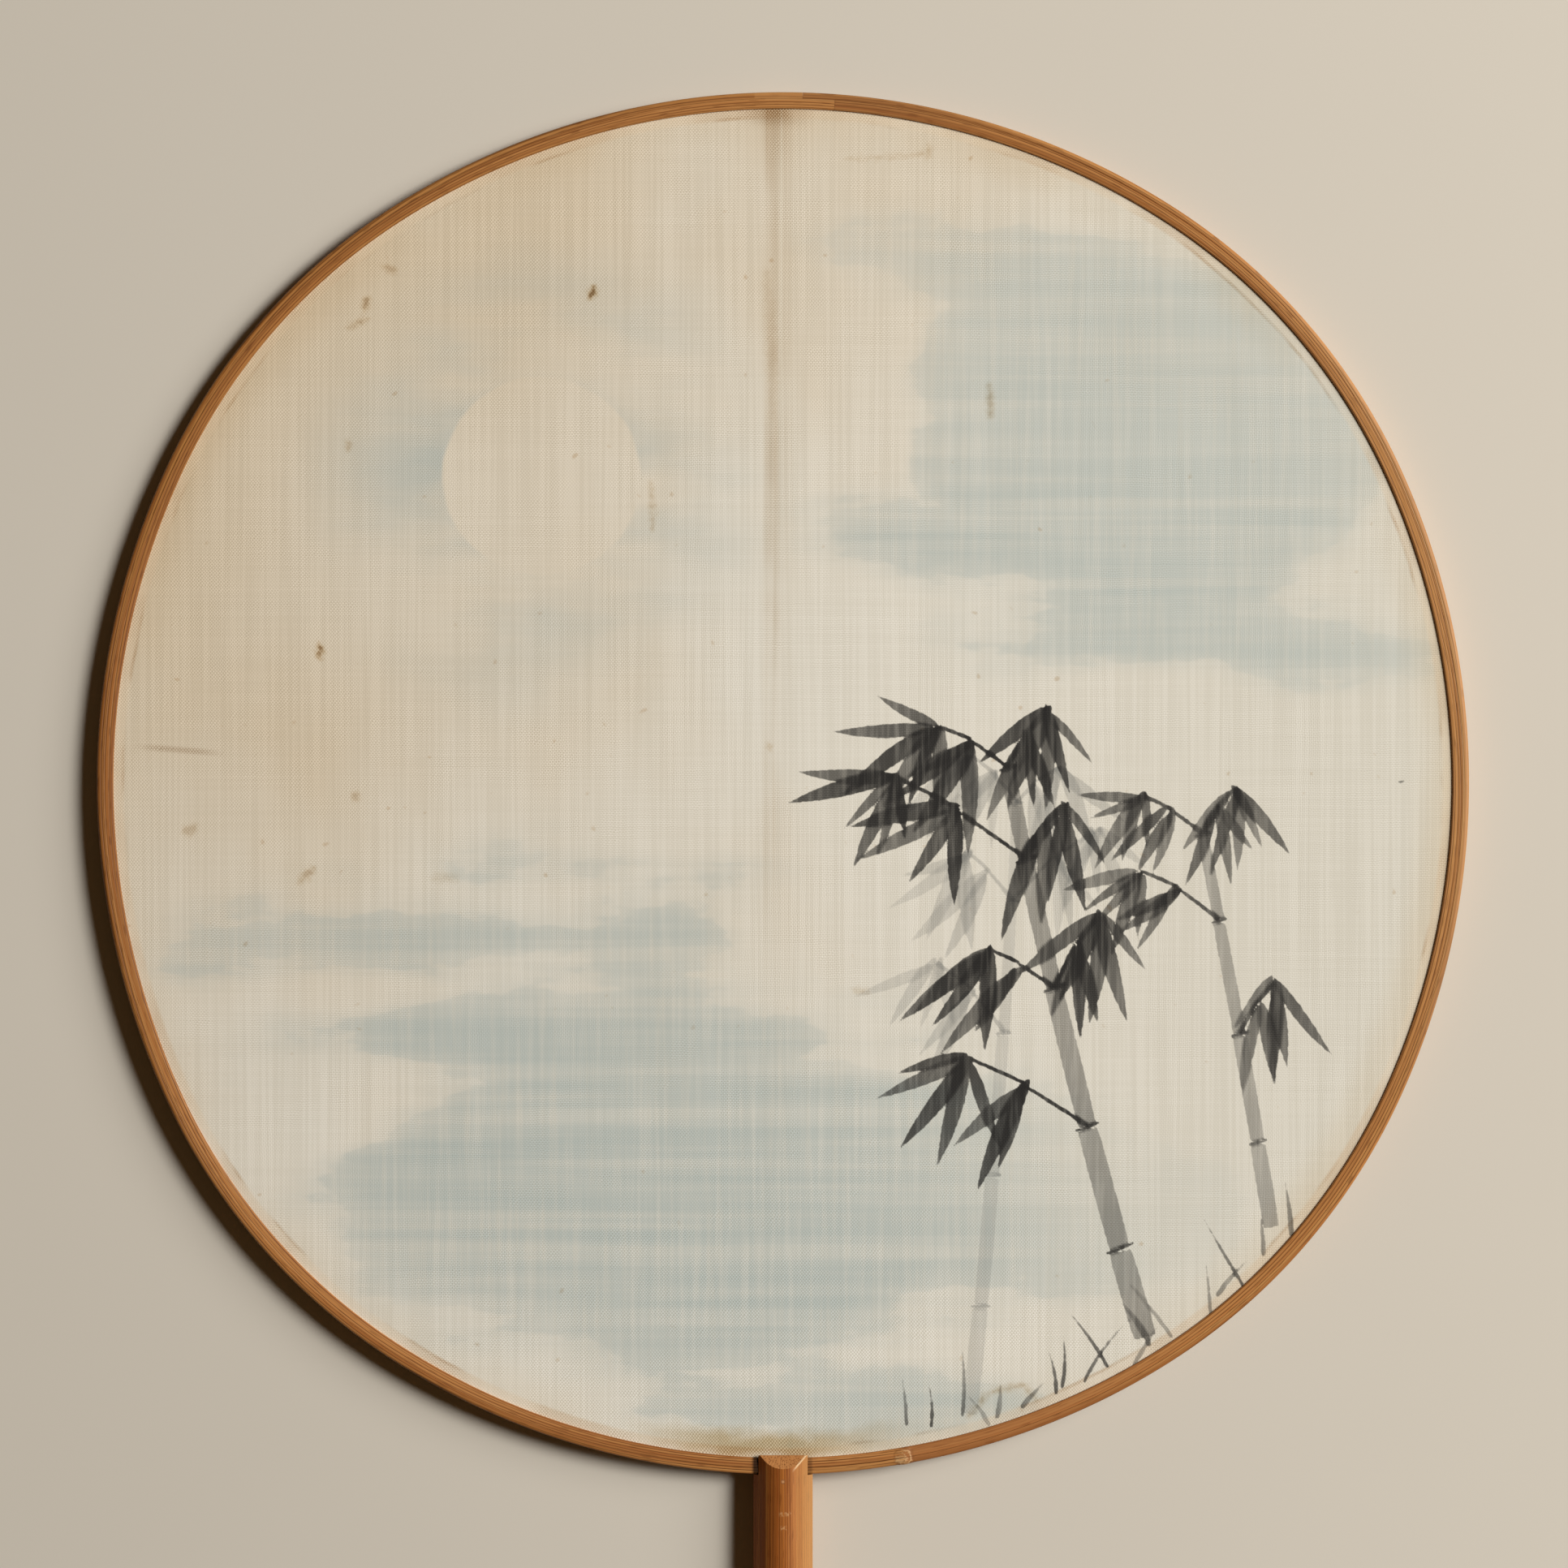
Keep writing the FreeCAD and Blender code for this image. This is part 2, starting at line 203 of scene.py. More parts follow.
def make_bamboo_fibres():
    """Group: lines, streaks and pores of bamboo. Run goes along the grain in X, across in Y."""
    values = {"Run": "Vector", "Pitch": "Float", "Bold": "Float"}
    colours = {"Pale": "Color", "Deep": "Color", "Line": "Color"}
    results = {"Colour": "Color", "Roughness": "Float", "Height": "Float"}
    tree, given, put = new_group("bamboo_fibres", {**values, **colours}, results)
    run = given["Run"]
    streak = noise_of(run, (12, 1300, 1300))
    patch = noise_of(run, (10, 170, 170))
    tone = rise_of(0.6 * streak + 0.4 * patch, 0.37, 0.61)
    ground = mix_of(tone, given["Deep"], given["Pale"])
    ruddy = rise_of(noise_of(run, (8, 1900, 1900), 1.0), 0.50, 0.66)
    ground = shade_of(0.6 * ruddy, ground, (0.86, 0.69, 0.56, 1))
    wander = 4.0 * noise_of(run, (9, 160, 160), 1.0)
    steps = parts_of(run)[1] / given["Pitch"] + wander
    bold = rise_of(noise_of(run, (14, 2300, 2300), 1.0), 0.30, 0.54)
    line = rise_of(wave_of(steps, 1.0), 0.15, 0.98) * (bold * given["Bold"])
    lined = mix_of(0.8 * line, ground, given["Line"])
    pore = rise_of(noise_of(run, (300, 4200, 4200), 0.0), 0.61, 0.72)
    colour = mix_of(0.45 * pore, lined, given["Line"])
    roughness = 0.05 * line + 0.44
    height = 0.5 * streak - line
    set_sockets(tree, put, {"Colour": colour, "Roughness": roughness, "Height": height})
    return tree


bamboo_fibres = make_bamboo_fibres()


def lay_fibres(run, pitch, bold, colours):
    """Bamboo fibres in a material, with that piece's own pitch, boldness and colours."""
    pale, deep, line = colours
    sockets = {"Run": run, "Pitch": pitch, "Bold": bold, "Pale": pale, "Deep": deep, "Line": line}
    return wires_of(run.tree, new_node(run.tree, "Group", sockets, node_tree=bamboo_fibres))


def raw_bamboo(name, run_of, pitch, colours, depth):
    """Unvarnished split bamboo, with its fibres along a run through the piece."""
    material, tree, shader = new_material(name)
    run = run_of(*parts_of(object_place(tree)))
    fibres = lay_fibres(run, pitch, 0.8, colours)
    normal = relief_of(fibres["Height"], depth)
    sockets = {"Base Color": fibres["Colour"], "Roughness": fibres["Roughness"], "Normal": normal}
    set_sockets(tree, shader, sockets)
    return material


def round_the_bend(x, y, z):
    """A run that follows the bent strip."""
    y = y - hoop_middle.y
    return vector_of(y.reckon("ARCTAN2", x) * half_width, distance_of(x, y) + z)


stretcher_colours = (srgb(208, 168, 114), srgb(178, 134, 84), srgb(126, 86, 48))
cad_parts["stretcher_hoop"].material_slots[0].material = raw_bamboo(
    "raw_bent_bamboo", round_the_bend, 0.7 * mm, stretcher_colours, 0.06 * mm
)

# The spine: a flat slip of split bamboo, wider towards the handle, planed on both faces.
# Its tip is let into the stretcher, and its tang runs through the hoop into the handle.


def along_the_slip(x, y, z):
    """A run straight along the slip."""
    return vector_of(y, x + z)


spine_colours = (srgb(204, 162, 108), srgb(172, 126, 76), srgb(118, 80, 44))
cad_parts["spine"].material_slots[0].material = raw_bamboo(
    "planed_bamboo", along_the_slip, 0.6 * mm, spine_colours, 0.05 * mm
)

# The silk: one piece of sized plain-weave cloth, pasted taut on the stretcher and the spine and
# trimmed at the stretcher's edge. Ink bamboo under a bare moon is brushed on its front.
shoulder_inset = 13.0 * mm
side_bow = 2.3 * mm
top_bow = 3.2 * mm
half_height = (hoop_high.y - hoop_low.y) / 2
shoulder_radius = min(half_width, half_height) - shoulder_inset
shoulder_x = half_width - shoulder_radius - side_bow
shoulder_y = half_height - shoulder_radius - top_bow
side_radius = shoulder_radius + side_bow / 2 + shoulder_y**2 / (2 * side_bow)
top_radius = shoulder_radius + top_bow / 2 + shoulder_x**2 / (2 * top_bow)
side_x = half_width - side_radius
top_y = half_height - top_radius
side_end = math.atan2(shoulder_y, shoulder_x - side_x)
top_end = math.atan2(shoulder_y - top_y, shoulder_x)


def hoop_arcs():
    """The hoop's eight tangent arcs, anticlockwise from the top: centre, radius, two angles."""
    half = math.pi
    full = 2 * math.pi
    return [
        ((0, top_y), top_radius, top_end, half - top_end),
        ((-shoulder_x, shoulder_y), shoulder_radius, half - top_end, half - side_end),
        ((-side_x, 0), side_radius, half - side_end, half + side_end),
        ((-shoulder_x, -shoulder_y), shoulder_radius, half + side_end, half + top_end),
        ((0, -top_y), top_radius, half + top_end, full - top_end),
        ((shoulder_x, -shoulder_y), shoulder_radius, full - top_end, full - side_end),
        ((side_x, 0), side_radius, full - side_end, full + side_end),
        ((shoulder_x, shoulder_y), shoulder_radius, full + side_end, full + top_end),
    ]


def spin_round_hoop(bm, geom, first, last, step):
    """Sweeps geometry that stands at an angle of the top arc round the hoop, to one near it."""
    arcs = hoop_arcs()
    top, reach, top_first, top_last = arcs[0]
    stretches = [(top, reach, first, top_last), *arcs[1:], (top, reach, top_first, last)]
    for centre, radius, begin, end in stretches:
        spun = bmesh.ops.spin(
            bm,
            geom=geom,
            cent=(centre[0] + hoop_middle.x, centre[1] + hoop_middle.y, 0),
            axis=(0, 0, 1),
            angle=end - begin,
            steps=max(1, round((end - begin) * radius / step)),
        )
        geom = spun["geom_last"]


def hoop_run(places):
    """For points in the frame: the way round the hoop from the right, the inset, the whole way."""
    x = places[:, 0] - hoop_middle.x
    y = places[:, 1] - hoop_middle.y
    out_x = np.abs(x)
    out_y = np.abs(y)
    side_turn = np.arctan2(out_y, out_x - side_x)
    top_turn = np.arctan2(out_y - top_y, out_x)
    shoulder_turn = np.arctan2(out_y - shoulder_y, out_x - shoulder_x)
    on_side = side_turn <= side_end
    on_top = top_turn >= top_end
    side_length = side_radius * side_end
    shoulder_length = shoulder_radius * (top_end - side_end)
    quarter = side_length + shoulder_length + top_radius * (math.pi / 2 - top_end)
    shoulder_way = side_length + shoulder_radius * (shoulder_turn - side_end)
    top_way = side_length + shoulder_length + top_radius * (top_turn - top_end)
    way = np.where(on_side, side_radius * side_turn, np.where(on_top, top_way, shoulder_way))
    way = np.where(x < 0, 2 * quarter - way, way)
    way = np.where(y < 0, 4 * quarter - way, way)
    from_side = side_radius - np.hypot(out_x - side_x, out_y)
    from_top = top_radius - np.hypot(out_x, out_y - top_y)
    from_shoulder = shoulder_radius - np.hypot(out_x - shoulder_x, out_y - shoulder_y)
    inset = np.where(on_side, from_side, np.where(on_top, from_top, from_shoulder))
    return way, inset, 4 * quarter


# A brush stroke is given in millimetres from the hoop's middle, with its heading in degrees; bend
# is its sag by a share of its length, and rise and fall shape how it swells and thins out.
Stroke = namedtuple("Stroke", "x y heading length width bend rise fall tone fade")


def stroke_edge(stroke, places):
    """How far points lie outside a stroke's edge, in millimetres, and how far along it."""
    turn = math.radians(stroke.heading)
    from_x = places[:, 0] - stroke.x
    from_y = places[:, 1] - stroke.y
    along = from_x * math.cos(turn) + from_y * math.sin(turn)
    share = np.clip(along / stroke.length, 0, 1)
    aside = from_y * math.cos(turn) - from_x * math.sin(turn)
    aside = aside - stroke.bend * stroke.length * share**2
    fullest = stroke.rise / (stroke.rise + stroke.fall)
    belly = fullest**stroke.rise * (1 - fullest) ** stroke.fall
    half = stroke.width / 2 * share**stroke.rise * (1 - share) ** stroke.fall / belly
    beside = np.abs(aside) - half
    beyond = np.maximum(-along, along - stroke.length)
    outside = np.hypot(np.maximum(beside, 0), np.maximum(beyond, 0))
    return outside + np.minimum(np.maximum(beside, beyond), 0), share


def lay_ink(strokes, places, reach, bleed):
    """The distance outside the nearest stroke, up to a reach, and the tone of the ink laid."""
    edge = np.full(len(places), reach)
    bare = np.ones(len(places))
    for stroke in strokes:
        span = stroke.length + stroke.width + reach
        away = np.hypot(places[:, 0] - stroke.x, places[:, 1] - stroke.y)
        near = np.flatnonzero(away < span)
        outside, share = stroke_edge(stroke, places[near])
        edge[near] = np.minimum(edge[near], outside)
        tone = np.clip(stroke.tone * (1 - stroke.fade * share), 0, 1)
        bare[near] *= 1 - tone * np.clip(1 - outside / bleed, 0, 1)
    return edge, 1 - bare


def leaf_spray(chance, x, y, heading, count, length, tone):
    """Leaves that fan out from the end of a twig, the middle ones longest."""
    leaves = []
    for place in range(count):
        fan = place - (count - 1) / 2
        reach = length * chance.uniform(0.66, 1.14) * (1 - 0.07 * abs(fan))
        leaves.append(
            Stroke(
                x=x + chance.uniform(-0.9, 0.9),
                y=y + chance.uniform(-0.9, 0.9),
                heading=heading + fan * chance.uniform(17, 26) + chance.uniform(-6, 6),
                length=reach,
                width=min(reach * chance.uniform(0.13, 0.18), 3.2),
                bend=chance.uniform(-0.12, 0.12),
                rise=0.62,
                fall=0.95,
                tone=tone * chance.uniform(0.70, 1.0),
                fade=0.2,
            )
        )
    return leaves


def leafy_twig(chance, x, y, heading, length, droop, leaves, size, tone):
    """A thin twig in two bends, with leaves hanging from its knee and its tip."""
    twig_width = 0.75
    strokes = []
    for share, count in ((0.55, max(leaves - 2, 2)), (0.45, leaves)):
        turn = math.radians(heading)
        reach = length * share
        strokes.append(Stroke(x, y, heading, reach, twig_width, 0.03, 0.06, 0.12, tone, 0.1))
        x += reach * math.cos(turn)
        y += reach * math.sin(turn)
        strokes += leaf_spray(chance, x, y, droop + chance.uniform(-9, 9), count, size, tone)
        heading += chance.uniform(-16, -8) if math.cos(turn) > 0 else chance.uniform(8, 16)
    return strokes


def bamboo_stem(x, y, heading, lengths, width, lean, tone):
    """A stem drawn upwards joint by joint, and the places of its joints with their headings."""
    strokes = []
    joints = []
    joint_gap = 0.7
    ring_width = 0.7
    overhang = 0.62
    taper = 0.9
    for length in lengths:
        turn = math.radians(heading)
        across = math.radians(heading - 90)
        cane = length - joint_gap
        strokes.append(Stroke(x, y, heading, cane, width, 0.005, 0.03, 0.03, tone, 0.15))
        x += length * math.cos(turn)
        y += length * math.sin(turn)
        out = overhang * width
        ring_x = x - joint_gap / 2 * math.cos(turn) - out * math.cos(across)
        ring_y = y - joint_gap / 2 * math.sin(turn) - out * math.sin(across)
        ring_shape = (2 * out, ring_width, 0.1, 0.25, 0.25)
        strokes.append(Stroke(ring_x, ring_y, heading - 90, *ring_shape, 2 * tone, 0))
        joints.append((x, y, heading))
        heading += lean
        width *= taper
    return strokes, joints


def leafy_stem(chance, stem, twigs, droop, size, tone):
    """A stem with leafy twigs: each from a joint, to a side, of a length, with a leaf count."""
    spread = 41
    sway = 20
    strokes, joints = bamboo_stem(*stem)
    for joint, side, length, leaves in twigs:
        x, y, heading = joints[joint]
        out = heading + spread * side
        hang = droop - sway * side
        strokes += leafy_twig(chance, x, y, out, length, hang, leaves, size, tone)
    return strokes


def painted_bamboo():
    """The painting: pale bamboo behind, dark bamboo in front of it, grass and one stray speck."""
    chance = random.Random(11)
    pale_stem = (34, -115, 84, (20, 24, 26, 24, 18), 3.0, 0.8, 0.14)
    pale_twigs = ((2, 1, 18, 4), (3, -1, 20, 5), (3, 1, 12, 4), (4, 1, 12, 5), (4, -1, 10, 4))
    far = leafy_stem(chance, pale_stem, pale_twigs, -100, 18, 0.2)
    dark_stem = (66, -101, 106, (17, 23, 26, 24, 17), 4.4, -1.2, 0.40)
    dark_twigs = (
        (1, 1, 25, 5),
        (2, -1, 16, 5),
        (2, 1, 14, 4),
        (3, 1, 28, 6),
        (3, -1, 12, 4),
        (4, 1, 15, 6),
        (4, -1, 13, 5),
    )
    near = leafy_stem(chance, dark_stem, dark_twigs, -112, 21, 0.92)
    slim_stem = (89, -81, 99, (16, 20, 21, 16), 3.0, 0.6, 0.32)
    slim_twigs = ((1, -1, 12, 4), (2, 1, 17, 5), (3, -1, 10, 5), (3, 1, 13, 5))
    near += leafy_stem(chance, slim_stem, slim_twigs, -108, 17, 0.74)
    for blade in range(18):
        near.append(
            Stroke(
                x=24 + 4.0 * blade + chance.uniform(-2, 2),
                y=-117 + 0.115 * blade**2 + chance.uniform(-1.5, 1.5),
                heading=chance.uniform(50, 130),
                length=chance.uniform(6, 15),
                width=chance.uniform(0.7, 1.1),
                bend=chance.uniform(-0.25, 0.25),
                rise=0.25,
                fall=0.9,
                tone=chance.uniform(0.3, 0.75),
                fade=0.4,
            )
        )
    stray_speck = Stroke(112.0, 0.2, 4, 1.5, 0.42, 0.15, 0.4, 0.5, 0.5, 0)
    near.append(stray_speck)
    return far, near


def mist_washes():
    """Level banks of thin grey-blue wash: place, heading, length, width and tone."""
    banks = (
        (-112, -30, 1.5, 96, 9, 0.52),
        (-96, -46, -1.0, 124, 12, 0.62),
        (-60, -16, 0.5, 66, 4, 0.36),
        (-86, -74, 0.0, 112, 16, 0.76),
        (-52, -99, 1.0, 92, 13, 0.66),
        (-26, -114, 1.0, 74, 12, 0.56),
        (-84, -78, 1.0, 170, 54, 0.22),
        (2, 44, 1.0, 96, 12, 0.58),
        (26, 26, -1.5, 92, 9, 0.68),
        (44, 74, 2.0, 56, 14, 0.46),
        (8, 96, 1.0, 64, 8, 0.40),
        (22, 70, -6.0, 92, 62, 0.19),
    )
    return [Stroke(*shape, 0.01, 0.5, 0.6, tone, 0.2) for *shape, tone in banks]


def age_marks():
    """Rust specks, brown runs and a tide mark: place, heading, length, width and tone."""
    marks = (
        (-35.3, 88.2, 62, 2.8, 1.4, 0.85),
        (-84.4, 22.6, 90, 3.0, 1.2, 0.80),
        (-76.4, 86.2, 70, 2.6, 1.3, 0.52),
        (-79.6, 83.0, 20, 4.4, 1.0, 0.34),
        (-70.4, 93.0, 150, 3.0, 1.4, 0.40),
        (-79.3, 60.8, 80, 1.6, 1.1, 0.55),
        (-78.3, -3.2, 60, 1.8, 1.5, 0.40),
        (-109.4, -9.3, 30, 3.0, 2.0, 0.34),
        (-88.2, -18.0, 40, 4.0, 1.4, 0.46),
        (-2.4, 6.2, 100, 1.2, 0.8, 0.55),
        (37.7, 66.3, 88, 6.4, 1.2, 0.45),
        (-23.8, 46.0, 89, 9.0, 1.1, 0.34),
        (-1.8, 66.0, 90, 28.0, 2.2, 0.16),
        (11.5, 113.8, 1, 15.0, 0.8, 0.26),
        (26.3, 113.8, 80, 2.6, 1.0, 0.24),
        (15.7, -38.0, 170, 2.8, 1.0, 0.34),
        (-59.0, -17.2, 178, 5.0, 1.6, 0.20),
        (33.6, -115.6, 48, 6.5, 0.9, 0.38),
        (38.0, -110.8, 8, 6.0, 1.0, 0.42),
        (44.0, -110.0, -50, 3.4, 0.9, 0.32),
    )
    return [Stroke(*shape, 0.05, 0.4, 0.4, tone, 0) for *shape, tone in marks]


def in_millimetres(places):
    """Points in the frame as millimetres from the hoop's middle."""
    return (places[:, :2] - np.array(hoop_middle.xy)) / mm


def set_attribute(mesh, name, values):
    """A named value or vector on each vertex, for the material to read."""
    kind, field = ("FLOAT", "value") if values.ndim == 1 else ("FLOAT_VECTOR", "vector")
    attribute = mesh.attributes.new(name, kind, "POINT")
    attribute.data.foreach_set(field, values.astype(np.float32).ravel())


def vertex_places(mesh):
    """A mesh's vertices as rows of numbers."""
    places = np.zeros(len(mesh.vertices) * 3, np.float32)
    mesh.vertices.foreach_get("co", places)
    return places.reshape(-1, 3).astype(float)


def cut_across(bm, geom, across, level):
    """Cuts geometry along a plane, without taking any away."""
    place = Vector(across) * level
    on_plane = 1e-7
    bmesh.ops.bisect_plane(bm, geom=geom, dist=on_plane, plane_co=place, plane_no=across)


def finish_piece(name, bm):
    """Turns a bmesh into a shown piece of the fan."""
    bmesh.ops.recalc_face_normals(bm, faces=bm.faces[:])
    mesh = bpy.data.meshes.new(name)
    bm.to_mesh(mesh)
    bm.free()
    piece = bpy.data.objects.new(name, mesh)
    bpy.context.scene.collection.objects.link(piece)
    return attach(piece, "root")


silk_low, silk_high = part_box("silk_face")
silk_edge_step = 2 * mm
silk_cell = 2.5 * mm
ink_cuts = 7
ink_reach = 1.9
ink_bleed = 0.35
wash_reach = 16.0
far_ink, near_ink = painted_bamboo()
marks = age_marks()


def silk_sheet():
    """The cloth as a thin sheet in small cells, finer where ink or rust lies."""
    bm = bmesh.new()
    start = bm.verts.new((hoop_middle.x, silk_high.y, silk_low.z))
    spin_round_hoop(bm, [start], math.pi / 2, math.pi / 2, silk_edge_step)
    bmesh.ops.remove_doubles(bm, verts=bm.verts[:], dist=0.01 * mm)
    bmesh.ops.contextual_create(bm, geom=bm.edges[:])
    for axis in (0, 1):
        across = Matrix.Identity(3)[axis]
        for cut in np.arange(silk_low[axis] + silk_cell, silk_high[axis], silk_cell):
            cut_across(bm, bm.verts[:] + bm.edges[:] + bm.faces[:], across, cut)
    front = bmesh.ops.extrude_face_region(bm, geom=bm.faces[:])["geom"]
    risen = [item for item in front if isinstance(item, bmesh.types.BMVert)]
    bmesh.ops.translate(bm, verts=risen, vec=(0, 0, silk_high.z - silk_low.z))
    faces = [item for item in front if isinstance(item, bmesh.types.BMFace)]
    centres = in_millimetres(np.array([face.calc_center_median()[:2] for face in faces]))
    edge = lay_ink(far_ink + near_ink + marks, centres, ink_reach, ink_bleed)[0]
    inked = {line for face, out in zip(faces, edge) if out < ink_reach for line in face.edges}
    inked = [line for line in inked if line.calc_length() > 0.4 * silk_cell]
    bmesh.ops.subdivide_edges(bm, edges=inked, cuts=ink_cuts, use_grid_fill=True)
    return bm


silk = finish_piece("silk_sheet", silk_sheet())
silk_places = vertex_places(silk.data)
silk_middle_z = (silk_low.z + silk_high.z) / 2
ink_at_back = 0.3
through_cloth = np.where(silk_places[:, 2] > silk_middle_z, 1.0, ink_at_back)
for layer, strokes, reach, bleed in (
    ("wash", mist_washes(), wash_reach, 2 * wash_reach),
    ("far", far_ink, ink_reach, ink_bleed),
    ("near", near_ink, ink_reach, ink_bleed),
    ("rust", marks, ink_reach, 2 * ink_reach),
):
    layer_edge, layer_tone = lay_ink(strokes, in_millimetres(silk_places), reach, bleed)
    set_attribute(silk.data, layer + "_edge", layer_edge * mm)
    set_attribute(silk.data, layer + "_tone", layer_tone * through_cloth)
bead_width = 1.8 * mm
bead_inner_inset = half_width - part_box("rim_bead")[1].x + bead_width
set_attribute(silk.data, "margin", hoop_run(silk_places)[1] - bead_inner_inset)


def attribute_of(tree, name, output="Fac"):
    """A value that a mesh carries on its vertices."""
    return add_node(tree, "Attribute", {}, output, attribute_name=name)


def cover_of(layer, ragged, soft):
    """How far a painted layer covers the cloth, with its edge made ragged by a distance."""
    edge = attribute_of(ragged.tree, layer + "_edge") + ragged
    return rise_of(edge, soft, -soft) * attribute_of(ragged.tree, layer + "_tone")


def deepened(share):
    """A share of ink as two coats of it cover."""
    bare = 1.0 - share
    return 1.0 - bare * bare


def aged_cloth(place, age):
    """Cream silk turned tan with age, painted a little darker towards the right as shade, with
    threads in their own tones.
    """
    x = parts_of(place)[0]
    cloth = mix_of(age, srgb(233, 226, 210), srgb(221, 203, 174))
    # Painted shade: a little darker towards the right.
    cloth = shade_of(rise_of(x, 20 * mm, 110 * mm), cloth, (0.915, 0.917, 0.91, 1))
    upright = 0.40 * noise_of(place, (1776, 26, 1), 0.0) + 0.28 * noise_of(place, (240, 4, 1))
    level = 0.12 * noise_of(place, (26, 1540, 1), 0.0) + 0.07 * noise_of(place, (5, 260, 1))
    darker = rise_of(upright + level, 0.545, 0.325)
    return shade_of(darker, cloth, (0.925, 0.92, 0.905, 1))


def washed_cloth(place, cloth):
    """Thin grey-blue washes in level banks, and round a disc of bare silk for the moon."""
    x, y = parts_of(place)[:2]
    drift = noise_of(place, (15, 42, 1), 4.0) - 0.5
    shore = 9 * mm * (noise_of(place, (130, 260, 1), 3.0) - 0.5)
    banks = 44 * mm * drift
    wash = 0.7 * cover_of("wash", banks, 7 * mm) + 0.3 * cover_of("wash", banks + shore, 0.9 * mm)
    brushed = rise_of(noise_of(place, (8, 240, 1), 3.0), 0.28, 0.66)
    soaked = rise_of(noise_of(place, (900, 40, 1)), 0.25, 0.60)
    wash = wash * (0.35 * brushed + 0.2 * soaked + 0.35)
    moon_left = 44 * mm
    moon_up = 56 * mm
    waver = 1.2 * mm * (noise_of(place, (120, 120, 1)) - 0.5)
    moon_far = distance_of(x + moon_left, y - moon_up) + waver
    halo = rise_of(moon_far, 17.6 * mm, 18.5 * mm) * rise_of(moon_far, 50 * mm, 14 * mm)
    cloud = halo * rise_of(drift, -0.14, 0.2)
    wash = wash.reckon("MAXIMUM", 0.75 * cloud)
    return mix_of(wash, cloth, srgb(172, 184, 179))


